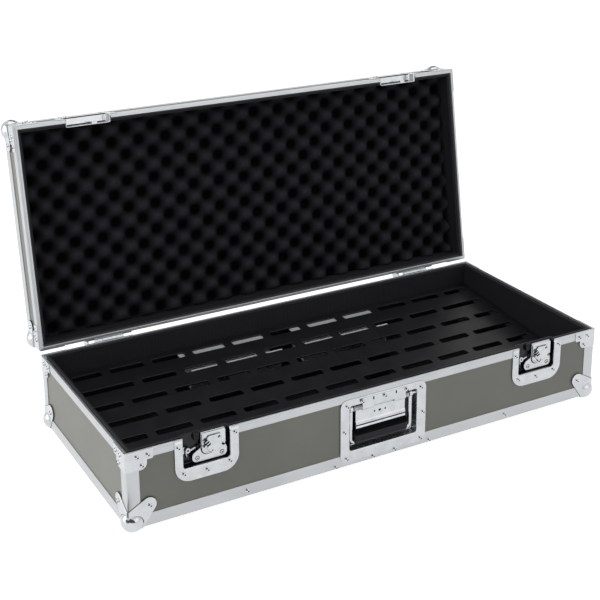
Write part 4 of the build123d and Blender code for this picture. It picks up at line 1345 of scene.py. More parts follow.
@dataclass
class BallCorners:
    """Ball corners with three riveted ears, one on each face."""

    shell: Shell
    radius: float = 19.0
    inset_by: float = 11.0
    sheet: float = 1.5
    wrap: float = 24.0
    ear: tuple = (37.0, 37.0, 13.0, 24.0)
    wall_ear: tuple = (35.6, 37.8, 13.0, 33.0)
    fillet: float = 2.2
    shadow: float = 0.6

    def ball(self) -> Surface:
        """Full sphere; the case hides its inner side."""
        tilt = np.linspace(-np.pi / 2, np.pi / 2, 30)[1:-1]
        profile = np.stack([self.radius * np.cos(tilt), self.radius * np.sin(tilt)], axis=1)
        return lathe(profile, lambda a, b, c: np.stack([a, b, c], axis=1), (0, 0), 48)

    def neck(self) -> Surface:
        """Concave collar that leads from the ball to the ears, in a face's coordinates."""
        start = math.sqrt(self.radius ** 2 - (self.inset_by + self.sheet) ** 2)
        turn = np.linspace(-0.12, np.pi / 2 + 0.12, 24)
        share = np.linspace(0, 1, 6)
        far = start - 0.4 + self.fillet * share
        height = self.sheet + self.fillet * 0.7 * (1 - share) ** 2
        return stack(np.stack([np.stack([self.inset_by + r * np.cos(turn),
                                         self.inset_by + r * np.sin(turn),
                                         np.full(len(turn), h)], axis=1)
                               for r, h in zip(far, height)]), wrap=False)

    def outline(self, ear: Sequence[float], grow: float = 0.0) -> Array:
        """Petal from the case's edges, where neighbours meet, to the round end.

        Args:
            ear: centre and radius of the round end, then the wrap up the second edge.
            grow: how much the outline grows for a shadow.

        Returns:
            The closed outline.
        """
        root = 0.5
        discs = [(self.inset_by, self.inset_by, self.inset_by - 0.05),
                 (self.wrap, root, root + grow), (root, ear[3], root + grow),
                 (ear[0], ear[1], ear[2] + grow)]
        return round_hull(discs, 96)

    def faces(self, sx: int, sy: int) -> list[tuple[Place, Sequence[float], tuple]]:
        """Places, ears and outward directions of the three faces of one corner.

        Args:
            sx: -1 for the left corners, 1 for the right ones.
            sy: -1 for the front corners, 1 for the back ones.

        Returns:
            One row for each face.
        """
        w, d, up = self.shell.sizes.half_w, self.shell.sizes.half_d, self.shell.up
        return [(lambda u, v, h: np.stack([sx * (w - u), sy * (d + h), up(v)], axis=-1),
                 self.wall_ear, (0, sy, 0)),
                (lambda u, v, h: np.stack([sx * (w + h), sy * (d - u), up(v)], axis=-1),
                 self.wall_ear, (sx, 0, 0)),
                (lambda u, v, h: np.stack([sx * (w - u), sy * (d - v), up(-h)], axis=-1),
                 self.ear, (0, 0, -self.shell.way))]

    def corner(self, sx: int, sy: int) -> Surface:
        """One corner: the ball, its three ears and the collars between them.

        Args:
            sx: -1 for the left corners, 1 for the right ones.
            sy: -1 for the front corners, 1 for the back ones.

        Returns:
            The joined surface.
        """
        w, d = self.shell.sizes.half_w, self.shell.sizes.half_d
        centre = np.array([sx * (w - self.inset_by), sy * (d - self.inset_by),
                           self.shell.up(self.inset_by)])
        parts = [self.ball().mapped(lambda p: centre + p).outward()]
        for place, ear, way in self.faces(sx, sy):
            parts.append(plate(self.outline(ear), self.sheet, place, 0.7).outward())
            parts.append(self.neck().mapped(lambda p, f=place: f(*p.T)).facing(way))
        return join(parts)

    def build(self, finishes: Finishes) -> None:
        """Makes the four corners of the shell, with painted shadow as a dark line under their
        ears.

        Args:
            finishes: finishes of the case.
        """
        surface = join([self.corner(sx, sy) for sx, sy in CORNERS])
        build(f"{self.shell.name}_balls", self.shell.settled(surface), finishes.polished,
              self.shell.body, [f"{self.shell.name}_ball_corners"], 40)
        # Thin dark plates under the ears: painted shadow.
        seams = join([plate(self.outline(ear, self.shadow), 0.25, place, 0.1).outward()
                      for sx, sy in CORNERS for place, ear, _ in self.faces(sx, sy)])
        build(f"{self.shell.name}_ball_seams", self.shell.settled(seams), finishes.shadow,
              self.shell.body, (), 40)


@dataclass
class CornerBraces:
    """Pressed braces that wrap round the rim corners."""

    shell: Shell
    thickness: float = 1.2
    reach: float = 46.0
    drop: float = 18.0
    lobe: tuple = (24.0, 23.0, 11.0)
    bend: float = 2.0
    corner: float = 3.0

    def lower_edge(self, s: Array) -> Array:
        """Depth of the lower edge at a distance from the corner line.

        Full depth to the lobe's centre, then the lobe's arc, then the arm.

        Args:
            s: distances from the corner line.

        Returns:
            Depths below the rim.
        """
        x, z, r = self.lobe
        far = np.abs(s)
        arc = z + np.sqrt(np.clip(r ** 2 - (far - x) ** 2, 0, None))
        inner = np.where(far <= x, z + r, arc)
        corner = self.corner
        past = far - self.reach + corner
        rise = np.sqrt(np.clip(corner ** 2 - past ** 2, 0, None)) - corner
        arm = np.where(past > 0, self.drop + rise, self.drop)
        return np.where(far < x + r, np.maximum(inner, arm), arm)

    def brace(self, sx: int, sy: int) -> Surface:
        """One brace: a sheet over the corner's bend with rounded edges all round.

        Args:
            sx: -1 for the left corners, 1 for the right ones.
            sy: -1 for the front corners, 1 for the back ones.

        Returns:
            The open surface.
        """
        w, d = self.shell.sizes.half_w, self.shell.sizes.half_d
        x, _, r = self.lobe
        c = self.corner
        half = np.concatenate([np.linspace(0.01, self.bend * 1.6, 7), np.linspace(8, x, 4),
                               x + r * np.sin(np.linspace(0.15, np.pi / 2, 12)), [x + r + 0.05],
                               np.linspace(x + r + c, self.reach - c, 3),
                               self.reach - c + c * np.sin(np.linspace(0.2, np.pi / 2 - 0.12, 5)),
                               [self.reach, self.reach]])
        s = np.concatenate([-half[::-1], half])
        low = self.lower_edge(s)
        rows = [(0.0, 0.0), (0.0, 0.62), (0.12, 0.9), (0.4, 1.0), (2.0, 1.0)]
        v = np.stack([np.full(len(s), a) for a, _ in rows]
                     + [low - a for a, _ in rows[::-1]])
        h = np.array([b for _, b in rows] + [b for _, b in rows[::-1]])[:, None] * self.thickness
        h = np.repeat(h, len(s), axis=1)
        h[:, [0, -1]] = 0.0
        far = np.abs(s)[None, :]
        radius = self.bend
        arc = radius * np.pi / 2
        turn = (1 - np.clip(far / arc * 2, 0, 1)) * np.pi / 4
        past = np.maximum(far - arc / 2, 0)
        a = radius + past - (radius + h) * np.sin(turn)
        b = (radius + h) * np.cos(turn) - radius
        on_front = (s > 0)[None, :]
        px = np.where(on_front, w - a, w + b)
        py = np.where(on_front, d + b, d - a)
        z = self.shell.down(v)
        rings = np.stack([sx * px, sy * py, z], axis=-1)
        return stack(rings, wrap=False).facing((sx, sy, 0))

    def build(self, finishes: Finishes) -> None:
        """Makes the four braces of the shell.

        Args:
            finishes: finishes of the case.
        """
        surface = join([self.brace(sx, sy) for sx, sy in CORNERS])
        build(f"{self.shell.name}_braces", self.shell.settled(surface), finishes.zinc,
              self.shell.body, [f"{self.shell.name}_corner_braces"], 40)


@dataclass
class LatchDish:
    """Half of a recessed latch dish: a riveted border that rolls into a pan."""

    shell: Shell
    side: Side
    centre_x: float = 334.0
    half: float = 56.0
    depth: float = 77.0
    corner: float = 27.0
    open_half: float = 41.0
    open_depth: float = 54.0
    open_corner: float = 5.0
    recess: float = 14.0
    sheet: float = 1.2
    roll: float = 2.4
    # Sizes of the dark plate of painted shade and the lid's strip of painted shadow, and where the
    # pan takes painted shade.
    lining_gap: float = 2.2
    lining_top: float = 6.0
    lining_strip: float = 5.0
    dark_below: float = 4.0
    dark_line: tuple = (-0.6, 2.6)
    dark_reach: float = 2.0

    def path(self, half: float, depth: float, corner: float) -> Array:
        """Open path down one side, across and up, with equal points for every size.

        Args:
            half: half of its width.
            depth: its depth below the rim.
            corner: radius of its corners.

        Returns:
            Array of shape (n, 2).
        """
        drawn = rounded([(-half, 0), (-half, -depth), (half, -depth), (half, 0)],
                        [0.1, corner, corner, 0.1], 14, closed=False)
        left = np.stack([np.full(5, -half), np.linspace(0, -(depth - corner) * 0.98, 5)], axis=1)
        right = left[::-1] * [-1, 1]
        return np.concatenate([left, drawn[1:-1], right])

    def surface(self) -> Surface:
        """Rings from the border's edge over the roll, down the wall and across the floor."""
        corners = self.corner - np.array([0.0, 0.0, 0.0, 0.3, 0.6])
        rings = [(self.half - d, self.depth - d, corner, h)
                 for (d, h), corner in zip(border_rows(self.sheet), corners)]
        rings += [(self.open_half + g, self.open_depth + g,
                   self.open_corner + g * (1.0 if g > 0 else 0.8), h)
                  for g, h in pan_rows(self.sheet, self.roll, self.recess)]
        rings.append((self.open_half - 2.6, self.open_depth - 2.6, 2.0, -self.recess))
        x0, place = self.side.value * self.centre_x, front(-self.shell.sizes.half_d)
        shapes = []
        for half, depth, corner, height in rings:
            x, level = self.path(half, depth, corner).T
            shapes.append(place(x0 + x, self.shell.down(-level), np.full(len(x), height)))
        return stack(np.stack(shapes), wrap=False, last=True).facing((0, -1, 0))

    def darkened(self, pan: Surface) -> Array:
        """Faces that take painted shade: all of the base's pan, and two lines of the lid's end
        wall.

        Args:
            pan: the shut dish.

        Returns:
            One flag for each face.
        """
        middles = pan.middles()
        inside = middles[:, 1] + self.shell.sizes.half_d
        if self.shell.body is Body.BASE:
            return inside > self.dark_below
        end = np.abs(middles[:, 2] - self.shell.rim) > self.open_depth - self.dark_reach
        low, high = self.dark_line
        line = (inside > low) & (inside < high)
        return end & ((inside > self.recess - self.dark_reach) | line)

    def lining(self) -> Surface:
        """Dark plate on the pan's floor, painted shade; in the lid only a strip at its left end,
        painted shadow.
        """
        x0 = self.side.value * self.centre_x
        side, low = self.open_half - self.lining_gap, self.open_depth - self.lining_gap
        levels = sorted(self.shell.down(np.array([self.lining_top, low])))
        width, corner = ((self.lining_strip, 0.8) if self.shell.body is Body.LID
                         else (2 * side, 1.5))
        outline = rounded_box(x0 - side, x0 - side + width, *levels, corner, 4)
        return plate(outline, 0.5, front(-self.shell.sizes.half_d + self.recess), 0.2)

    def build(self, finishes: Finishes) -> None:
        """Makes the dish half; a thin skin behind it gives the sheet its thickness.

        Args:
            finishes: finishes of the case.
        """
        side, shell = self.side.name.lower(), self.shell
        pan = self.surface()
        # The pan's inside takes painted shade.
        within = Coat(finishes.dark_steel, self.darkened(pan))
        piece = build(f"latch_{side}_{shell.name}_pan", shell.settled(pan),
                      finishes.zinc, shell.body, [f"latch_{side}_{shell.name}_dish"],
                      40, within)
        skin = piece.modifiers.new("sheet", "SOLIDIFY")
        skin.thickness = 1.0 * MM
        skin.offset = -1.0
        # A dark plate of painted shade on the pan's floor; in the lid, a strip of painted shadow.
        build(f"latch_{side}_{shell.name}_lining", shell.settled(self.lining()),
              finishes.dark_steel, shell.body, (), 40)


@dataclass
class LatchWorks:
    """Mechanism plate, rotor, cam hook, wing and buffer of one latch.

    The hook's arc is its inner and outer radius and the degrees it spans.
    """

    sizes: CaseSizes
    side: Side
    centre_x: float = 334.0
    offset: float = 3.6
    drop: float = 30.5
    recess: float = 14.0
    plate_lift: float = 6.0
    plate_sheet: float = 2.0
    disc_lift: float = 7.0
    disc_radius: float = 10.0
    disc_height: float = 2.5
    disc_room: float = 1.5
    feet: tuple = ((-18.0, -13.8), (25.3, -13.8))
    wing_reach: float = 32.0
    wing_half: float = 16.0
    wing_root: float = 13.0
    wing_hole: tuple = (25.6, 2.3)
    wing_sheet: float = 2.0
    barrel: float = 2.4
    ear_gap: float = 0.4
    arm: tuple = ((-9.0, 6.5), (-37.5, -2.7))
    arm_half: float = 1.7
    arm_root: float = 0.38
    arm_shaded: float = 20.5
    arc: tuple = (38.3, 42.6, 168.0, 185.0)
    hook_lift: float = 1.0
    eye: tuple = (-33.5, 2.6, 6.3)
    eye_radius: float = 3.3
    coil_gaps: tuple = (((-8.6, 13.4), (-2.4, 17.6)), ((-6.8, 9.0), (0.8, 13.8)),
                        ((-4.2, 5.0), (3.2, 9.4)))
    pad: tuple = (-10.4, 30.9, 3.4, 28.6)
    pad_lift: float = 11.0
    buffer: tuple = (-22.5, -12.5, 17.0, 29.6)
    neck: float = 6.4

    @property
    def boss(self) -> tuple[float, float]:
        """Rotor centre across and up."""
        return self.side.value * self.centre_x + self.offset, self.sizes.rim - self.drop

    @property
    def floor(self) -> float:
        """Depth of the pan's floor."""
        return -self.sizes.half_d + self.recess

    def at(self, lift: float) -> Place:
        """Places drawings about the rotor at a lift over the pan's floor.

        Args:
            lift: distance from the pan's floor.

        Returns:
            The place function.
        """
        x0, z0 = self.boss
        y0 = self.floor - lift
        return lambda x, z, h: np.stack([x0 + x, y0 - h, z0 + z], axis=-1)

    def wing_place(self) -> Place:
        """Places drawings on the wing: along it, across it and outwards."""
        x0, z0 = self.boss
        y0 = self.floor - self.disc_lift - self.disc_height - self.barrel - self.ear_gap
        c = math.sqrt(0.5)
        return lambda a, b, h: np.stack([x0 + c * (a - b), y0 - h, z0 + c * (a + b)], axis=-1)

    def mechanism(self) -> Surface:
        """Plate with two lobes and a square upper part under a raised pad, on two feet."""
        outline = rounded(
            [(-26.8, -22.0), (34.6, -22.0), (34.6, -6.5), (31.5, 0.5), (31.5, 29.2),
             (-11.0, 29.2), (-11.0, 3.0), (-26.8, -6.0)],
            [8.6, 8.6, 6.0, 3.0, 2.5, 2.5, 4.5, 8.0], 8)
        slit = rounded([(22.0, 2.8), (29.0, -3.6), (31.2, -1.6), (24.0, 5.2)], [0.6] * 4, 4)
        hole = self.disc_radius + self.disc_room
        parts = [plate(outline, self.plate_sheet, self.at(self.plate_lift), 0.7,
                       [circle(0, 0, hole, 40), slit])]
        top = self.plate_lift + self.plate_sheet
        x0, x1, z0, z1 = self.pad
        low = math.asin(z0 / hole)
        turn = np.linspace(math.pi - low, low, 24)
        arch = hole * np.stack([np.cos(turn), np.sin(turn)], axis=1)
        cut, sunk = 2.0, 0.2
        raised = np.concatenate([[(x1, z0), (x1, z1 - cut), (x1 - cut, z1), (x0 + cut, z1),
                                  (x0, z1 - cut), (x0, 6.0)], arch])
        parts.append(plate(raised, self.pad_lift - top + sunk, self.at(top - sunk), 0.6))
        for x, z in self.feet:
            parts.append(lathe([(3.5, 0.0), (3.5, self.plate_lift)], self.at(0), (x, z), 20))
            parts.append(lathe([(3.3, 0.0), (3.3, 0.5), (3.0, 1.0), (2.2, 1.35), (1.2, 1.45),
                                (0.2, 1.45)], self.at(top), (x, z), 20))
        return join(parts)

    def screw_slot_shade(self) -> Surface:
        """Painted shade: dark cross slots in the screw heads, and a dark ring gap round each head.
        """
        top = self.plate_lift + self.plate_sheet
        parts = []
        for x, z in self.feet:
            for half_x, half_z in ((1.9, 0.45), (0.45, 1.9)):
                mark = rounded_box(x - half_x, x + half_x, z - half_z, z + half_z, 0.3, 3)
                parts.append(plate(mark, 0.1, self.at(top + 1.42), 0.05))
            parts.append(lathe([(3.9, 0.0), (3.9, 0.12), (3.4, 0.12)], self.at(top), (x, z), 20))
        return join(parts)

    def rotor(self) -> Surface:
        """Shaft, dished disc and the two ears of the wing's pivot."""
        r, h = self.disc_radius, self.disc_height
        disc = [(4.9, -6.0), (4.9, -0.1), (r - 0.5, 0.0), (r, 0.5), (r, h - 0.7),
                (r - 0.25, h - 0.2), (r - 0.9, h), (r - 2.2, h), (r - 2.6, h - 0.5),
                (r - 3.3, h - 0.55), (r - 3.8, h - 0.1), (2.6, h + 0.1), (0.3, h + 0.15)]
        parts = [lathe(disc, self.at(self.disc_lift), (0, 0), 40)]
        place = self.wing_place()
        for b in (-1, 1):
            low, high = sorted((b * 7.0, b * 9.4))
            outline = rounded_box(-2.9, 2.9, -2.6, self.barrel + 0.5, 1.6, 5)
            parts.append(bar(outline, lambda a, u, v: place(u, a, v), np.full(len(outline), low),
                             np.full(len(outline), high)))
        return join(parts)

    def wing(self) -> Surface:
        """Pressed wing with a hole near its tip, and its pivot barrel."""
        root, reach, half, neck = self.wing_root, self.wing_reach, self.wing_half, self.neck
        outline = rounded([(0.2, -neck), (3.4, -neck), (3.4, -root), (reach - half, -half),
                           (reach, 0), (reach - half, half), (3.4, root), (3.4, neck),
                           (0.2, neck)], [0.6, 0.6, 2.5, 4.0, 3.0, 4.0, 2.5, 0.6, 0.6], 7)
        place = self.wing_place()
        across, radius = self.wing_hole
        parts = [plate(outline, self.wing_sheet, place, 0.8, [circle(across, 0, radius, 28)])]
        run = np.linspace(-neck, neck, 3)
        spine = place(np.zeros(3), run, np.zeros(3))
        parts.append(tube(spine, self.barrel, (0, 1, 0), 20))
        return join(parts)

    def spring_gaps(self) -> Surface:
        """Painted shade between the windings of the wing's spring, as three short dark bars beside
        its pivot.
        """
        x0, z0 = self.boss
        lift = self.wing_place()(np.zeros(1), np.zeros(1), np.full(1, self.wing_sheet))[0, 1]
        return join([plate(rounded(strip(low, high, 1.35), [0.7] * 4, 4) + [x0, z0], 0.35,
                           front(lift), 0.15) for low, high in self.coil_gaps])

    def hook(self) -> Surface:
        """Cam hook: a hub, an arm beside the keeper's path and an arc that turns over it."""
        inner, outer, low, high = self.arc
        turn = np.radians(np.linspace(low, high, 11))
        ring = np.stack([np.cos(turn), np.sin(turn)], axis=1)
        place = self.at(self.hook_lift)
        arc = plate(np.concatenate([outer * ring, inner * ring[::-1]]), 2.5, place, 0.5)
        start, end = np.array(self.arm)
        root = start + (end - start) * self.arm_root
        arm = plate(rounded(strip(start, end, self.arm_half), [0.8] * 4, 4), 3.4,
                    self.at(self.hook_lift + 0.05), 0.9)
        foot = plate(rounded(strip(start, root, self.arm_half), [0.8] * 4, 4), 3.5, place, 0.9)
        hub = lathe([(11, 0.0), (11, 2.0), (10.5, 2.5), (5.0, 2.5)], place, (0, 0), 32)
        return join([arc, arm, foot, hub])

    def spring(self) -> Surface:
        """Wire spring that holds the hook back: an eye over the arm and a leg to the floor."""
        x, z, lift = self.eye
        ring = self.at(lift)(*circle(x, z, self.eye_radius, 28).T, np.zeros(28))
        leg = np.array([(x - self.eye_radius, z - 0.6, lift), (x - 2.6, z - 7.4, lift - 0.2),
                        (x - 0.6, z - 13.6, 3.5), (x + 2.6, z - 18.4, 0.9)])
        wire = self.at(0.0)(*leg.T)
        return join([tube(ring, 1.6, (0, 1, 0), 14, closed=True), tube(wire, 1.2, (1, 0, 0), 12)])

    def build(self, finishes: Finishes) -> None:
        """Makes the latch's pieces on their bodies.

        Args:
            finishes: finishes of the case.
        """
        latch = f"latch_{self.side.name.lower()}"
        turn = Body[f"{self.side.name}_TURN"]
        fold = Body[f"{self.side.name}_WING"]
        hook = self.hook()
        shaded = Coat(finishes.dark_steel, hook.middles()[:, 0] > self.boss[0] - self.arm_shaded)
        # Painted shade: the screw slots, the spring's three dark bars and the hook's shaded end.
        for name, surface, finish, body, node, coat in (
                ("plate", self.mechanism(), finishes.zinc, Body.BASE, "mechanism_plate", None),
                ("screw_slot_shade", self.screw_slot_shade(), finishes.shadow, Body.BASE, "", None),
                ("boss", self.rotor(), finishes.polished, turn, "rotor", None),
                ("hook", hook, finishes.polished, turn, "cam_hook", shaded),
                ("spring_eye", self.spring(), finishes.steel, Body.BASE, "", None),
                ("butterfly", self.wing(), finishes.zinc, fold, "wing", None),
                ("spring", self.spring_gaps(), finishes.shadow, fold, "", None)):
            build(f"{latch}_{name}", surface, finish, body, [f"{latch}_{node}"] if node else (),
                  38, coat)
        x, z = self.boss
        x0, x1, z0, z1 = self.buffer
        pad = rounded_box(x + x0, x + x1, z + z0, z + z1, 1.2, 5)
        build(f"{latch}_buffer", plate(pad, 6.0, front(self.floor), 1.0), finishes.rubber,
              Body.BASE, (), 38)


@dataclass
class HandleUnit:
    """Recessed dish with a cover strip, a folding rod bail, a flap and a rubber grip."""

    sizes: CaseSizes
    half: float = 87.0
    top_drop: float = 10.0
    height: float = 118.0
    corner: float = 14.0
    open_half: float = 68.5
    open_top: float = 24.0
    open_height: float = 84.0
    open_corner: float = 4.5
    recess: float = 16.0
    sheet: float = 1.2
    roll: float = 2.0
    pivot_drop: float = 32.0
    pivot_depth: float = 5.0
    rod: float = 3.9
    leg: float = 60.5
    rod_shift: float = -3.5
    reach: float = 52.5
    rod_reach: float = 63.5
    bend: float = 9.0
    flap_half: float = 50.0
    grip_length: float = 107.0
    shift: float = -5.0
    grip_height: float = 29.0
    grip_depth: float = 18.0
    # Height over the grip's middle from which its facets take painted shade.
    shaded_crown_from: float = 4.2
    cover_top: float = 13.5
    cover_low: float = 29.0
    cover_marks_x: tuple = (-22.0, 24.0)
    shield_half: float = 44.0
    shield_radius: float = 6.7
    shield_sheet: float = 0.8
    shield_spans: tuple = ((-44.0, -20.6, 36.5), (-20.4, 20.4, 31.0), (20.6, 44.0, 36.5))
    coil_runs: tuple = ((-58.0, -44.0), (43.0, 53.0))
    core_shade_runs: tuple = ((-60.0, -42.5), (42.5, 53.0))
    knuckles: tuple = ((-40.0, -22.0), (-19.0, 19.0), (22.0, 40.0))
    set_marks: tuple = ((-17.0, 1.2), (-6.5, 2.4), (4.5, 1.2))
    grip_end: float = 4.5

    @property
    def pivot(self) -> tuple[float, float]:
        """Depth and height of the bail's pivot line."""
        return -self.sizes.half_d + self.pivot_depth, self.sizes.rim - self.pivot_drop

    def dish(self) -> Surface:
        """Closed rings from the border's edge over the roll to the pan's floor."""
        z1 = self.sizes.rim - self.top_drop
        o1 = self.sizes.rim - self.open_top
        rows = [(rounded_box(-self.half + d, self.half - d, z1 - self.height + d, z1 - d,
                             self.corner - d, 9), h) for d, h in border_rows(self.sheet)]
        walls = pan_rows(self.sheet, self.roll, self.recess) + [(-2.6, -self.recess)]
        rows += [(rounded_box(-self.open_half - g, self.open_half + g,
                              o1 - self.open_height - g, o1 + g, max(self.open_corner + g, 1.2),
                              9), h) for g, h in walls]
        place = front(-self.sizes.half_d)
        rings = np.stack([place(*loop.T, np.full(len(loop), h)) for loop, h in rows])
        return stack(rings, last=True).facing((0, -1, 0))

    def rolls(self, spans: Sequence[tuple], radius: float, depth: float = 0.0,
              steps: int = 20) -> list[Surface]:
        """Round bars on the pivot's line, or a little in front of it.

        Args:
            spans: low and high end of each bar.
            radius: radius of the bars.
            depth: how far they lie in front of the pivot's line.
            steps: points round a bar.

        Returns:
            One closed surface for each span.
        """
        y, z = self.pivot
        return [tube(np.stack([np.linspace(*span, 3), np.full(3, y - depth), np.full(3, z)],
                              axis=1), radius, (0, 1, 0), steps) for span in spans]

    def cover(self) -> Surface:
        """Thin strip over the pivot, down to the flap's shields."""
        z, half = self.sizes.rim, self.shield_half
        outline = rounded_box(-half, half, z - self.cover_low, z - self.cover_top, 1.2, 5)
        return plate(outline, 1.0, front(-self.sizes.half_d - self.sheet + 0.1), 0.5)

    def cover_marks(self) -> Surface:
        """Two dark set marks in the strip."""
        z, out = self.sizes.rim, -self.sizes.half_d - self.sheet - 1.0
        return join([plate(rounded_box(x - 1.2, x + 1.2, z - 20.5, z - 14.8, 1.0, 4), 0.2,
                           front(out), 0.1) for x in self.cover_marks_x])

    def shields(self) -> Surface:
        """Three arcs about the pivot that carry the strip on; the middle one ends higher."""
        y, z = self.pivot
        parts, radius, edge = [], self.shield_radius, 0.9
        top = math.asin((self.pivot_drop - self.cover_low - 0.3) / radius)
        for x0, x1, drop in self.shield_spans:
            low = math.asin((self.pivot_drop - drop) / radius)
            turn = np.linspace(low, top, 14)
            ring = np.stack([-np.cos(turn), np.sin(turn)], axis=1)
            outline = np.concatenate([radius * ring, (radius - self.shield_sheet) * ring[::-1]])
            parts.append(bar(outline + [y, z], lambda a, u, v: np.stack([a, u, v], axis=-1),
                             np.full(len(outline), x0), np.full(len(outline), x1)))
            foot = (radius - 0.5) * ring[0] + [y, z]
            path = np.stack([np.linspace(x0 + edge, x1 - edge, 3), np.full(3, foot[0]),
                             np.full(3, foot[1])], axis=1)
            parts.append(tube(path, edge, (0, 1, 0), 10))
        return join(parts)

    def seams(self) -> Surface:
        """Painted shade in the gaps under the shields' rolled edges and at their two steps."""
        z, y = self.sizes.rim, self.pivot[0]
        parts = []
        for x0, x1, drop in self.shield_spans:
            line = rounded_box(x0 + 1.0, x1 - 1.0, z - drop - 1.75, z - drop - 0.95, 0.3, 3)
            face = 2.4 if drop > self.pivot_drop else 4.5
            parts.append(plate(line, 0.35, front(y - face), 0.15))
        for x in (-21.0, 21.0):
            parts.append(plate(circle(x, z - 33.4, 1.5, 16), 0.7, front(y - 4.2), 0.3))
        return join(parts)

    def bail(self) -> Surface:
        """U of round rod from the pivot eyes down, through two bends and across."""
        y, z = self.pivot
        low = z - self.rod_reach
        drawn = rounded([(-self.leg, z), (-self.leg, low), (self.leg, low), (self.leg, z)],
                        [0.1, self.bend, self.bend, 0.1], 12, closed=False)
        path = front(y)(drawn[:, 0] + self.rod_shift, drawn[:, 1], np.zeros(len(drawn)))
        parts = [tube(path, self.rod, (0, 1, 0), 20)]
        eye = [(2.75, -3.0), (5.0, -3.0), (5.4, -2.6), (5.4, 2.6), (5.0, 3.0), (2.75, 3.0)]
        for x in (self.rod_shift - self.leg, self.rod_shift + self.leg):
            rings = [np.insert(circle(y, z, r, 28), 0, x + a, axis=1) for r, a in eye]
            parts.append(stack(np.stack(rings + rings[:1])).outward())
        return join(parts)

    def coils(self) -> Surface:
        """Windings of the two return springs round the pivot."""
        ring = circle(*self.pivot, 4.6, 24)
        places = np.concatenate([np.arange(*run, 2.6) for run in self.coil_runs])
        return join([tube(np.insert(ring, 0, x, axis=1), 0.85, (1, 0, 0), 8, closed=True)
                     for x in places])

    def core_shade(self) -> Surface:
        """Dark cores inside the windings: painted shade."""
        return join(self.rolls(self.core_shade_runs, 4.2))

    def flap(self) -> Surface:
        """Pressed flap from the pivot to the grip: a flat, a step, a bead and three knuckles."""
        y, z = self.pivot
        half, low, thick = self.flap_half, z - 39.5, 2.0
        profile = [(y - 3.0, z - 3.6), (y - 2.6, z - 5.2), (y - 2.4, z - 8.0),
                   (y - 2.4, z - 24.2), (y - 3.0, z - 25.4), (y - 3.6, z - 26.8),
                   (y - 4.3, z - 28.8), (y - 4.0, z - 31.2), (y - 1.4, z - 31.8),
                   (y - 1.4, z - 33.4), (y - 3.6, z - 34.0), (y - 4.6, z - 35.6),
                   (y - 4.4, z - 37.4), (y - 3.0, low), (y - 3.0 + thick, low)]
        back = [(y + 0.6, z - 34.0), (y + 0.4, z - 8.0), (y + 0.2, z - 5.2), (y - 0.4, z - 3.6)]
        outline = rounded(profile + back, [0.35] * (len(profile) + len(back)), 4)
        ends = np.array([-half, -half + 0.25, -half + 0.8, half - 0.8, half - 0.25, half])
        shrink = np.array([0.45, 0.12, 0.0, 0.0, 0.12, 0.45])
        within = outline.mean(axis=0) - outline
        within /= np.linalg.norm(within, axis=1)[:, None]
        rings = [np.insert(outline + within * s, 0, x + self.shift, axis=1)
                 for x, s in zip(ends, shrink)]
        parts = [stack(np.stack(rings), first=True, last=True).outward()]
        return join(parts + self.rolls(self.knuckles, 4.2, 0.4, 22))

    def grooves(self) -> Surface:
        """Painted shade as a dark line in the groove under the bead, and three set marks."""
        y, z = self.pivot
        half = self.flap_half - 0.6
        line = rounded_box(self.shift - half, self.shift + half, z - 33.5, z - 31.7, 0.3, 3)
        parts = [plate(line, 0.3, front(y - 1.7), 0.15)]
        for x, wide in self.set_marks:
            mark = rounded_box(x - wide, x + wide, z - 16.0, z - 12.2, 0.9, 4)
            parts.append(plate(mark, 0.2, front(y - 2.35), 0.1))
        return join(parts)

    def floor(self) -> Surface:
        """Dark plate on the pan's floor: painted shade in the recess."""
        gap = 2.2
        top = self.sizes.rim - self.open_top - gap
        low = self.sizes.rim - self.open_top - self.open_height + gap
        half = self.open_half - gap
        return plate(rounded_box(-half, half, low, top, 1.5, 4), 0.5,
                     front(-self.sizes.half_d + self.recess), 0.2)

    def grip(self) -> Surface:
        """Rubber grip: a many-sided section with shallow grooves and rounded ends.

        Each ring is the section pulled towards its middle by the end rounding.
        """
        y, z = self.pivot
        centre = np.array([y, z - self.reach])
        a, b = self.grip_depth / 2, self.grip_height / 2
        cut, end, groove = 4.5, self.grip_end, 0.55
        corners = [(-a, -b + 6), (-a + cut, -b), (a - cut, -b), (a, -b + 6), (a, b - 6),
                   (a - cut, b), (-a + cut, b), (-a, b - 6), (-a, 5.4), (-a + groove, 4.9),
                   (-a, 4.4), (-a, -4.4), (-a + groove, -4.9), (-a, -5.4)]
        outline = rounded(corners, [3.4] * 8 + [0.2] * 6, 5)
        half = self.grip_length / 2
        turn = np.linspace(0, np.pi / 2, 7)
        back = end * (1 - np.sin(turn))
        x = np.concatenate([back - half, half - back[::-1]])
        pull = end * (1 - np.cos(np.concatenate([turn, turn[::-1]])))
        order = np.argsort(x)
        x, pull = x[order], pull[order]
        size = np.linalg.norm(outline, axis=1)
        scale = 1 - pull[:, None] / size[None, :]
        loops = outline[None] * scale[..., None] + centre
        rings = np.concatenate([np.repeat(x[:, None, None] + self.shift, len(outline), axis=1),
                                loops], axis=-1)
        return stack(rings, first=True, last=True).outward()

    def build(self, finishes: Finishes) -> None:
        """Makes the handle's pieces.

        Args:
            finishes: finishes of the case.
        """
        f = finishes
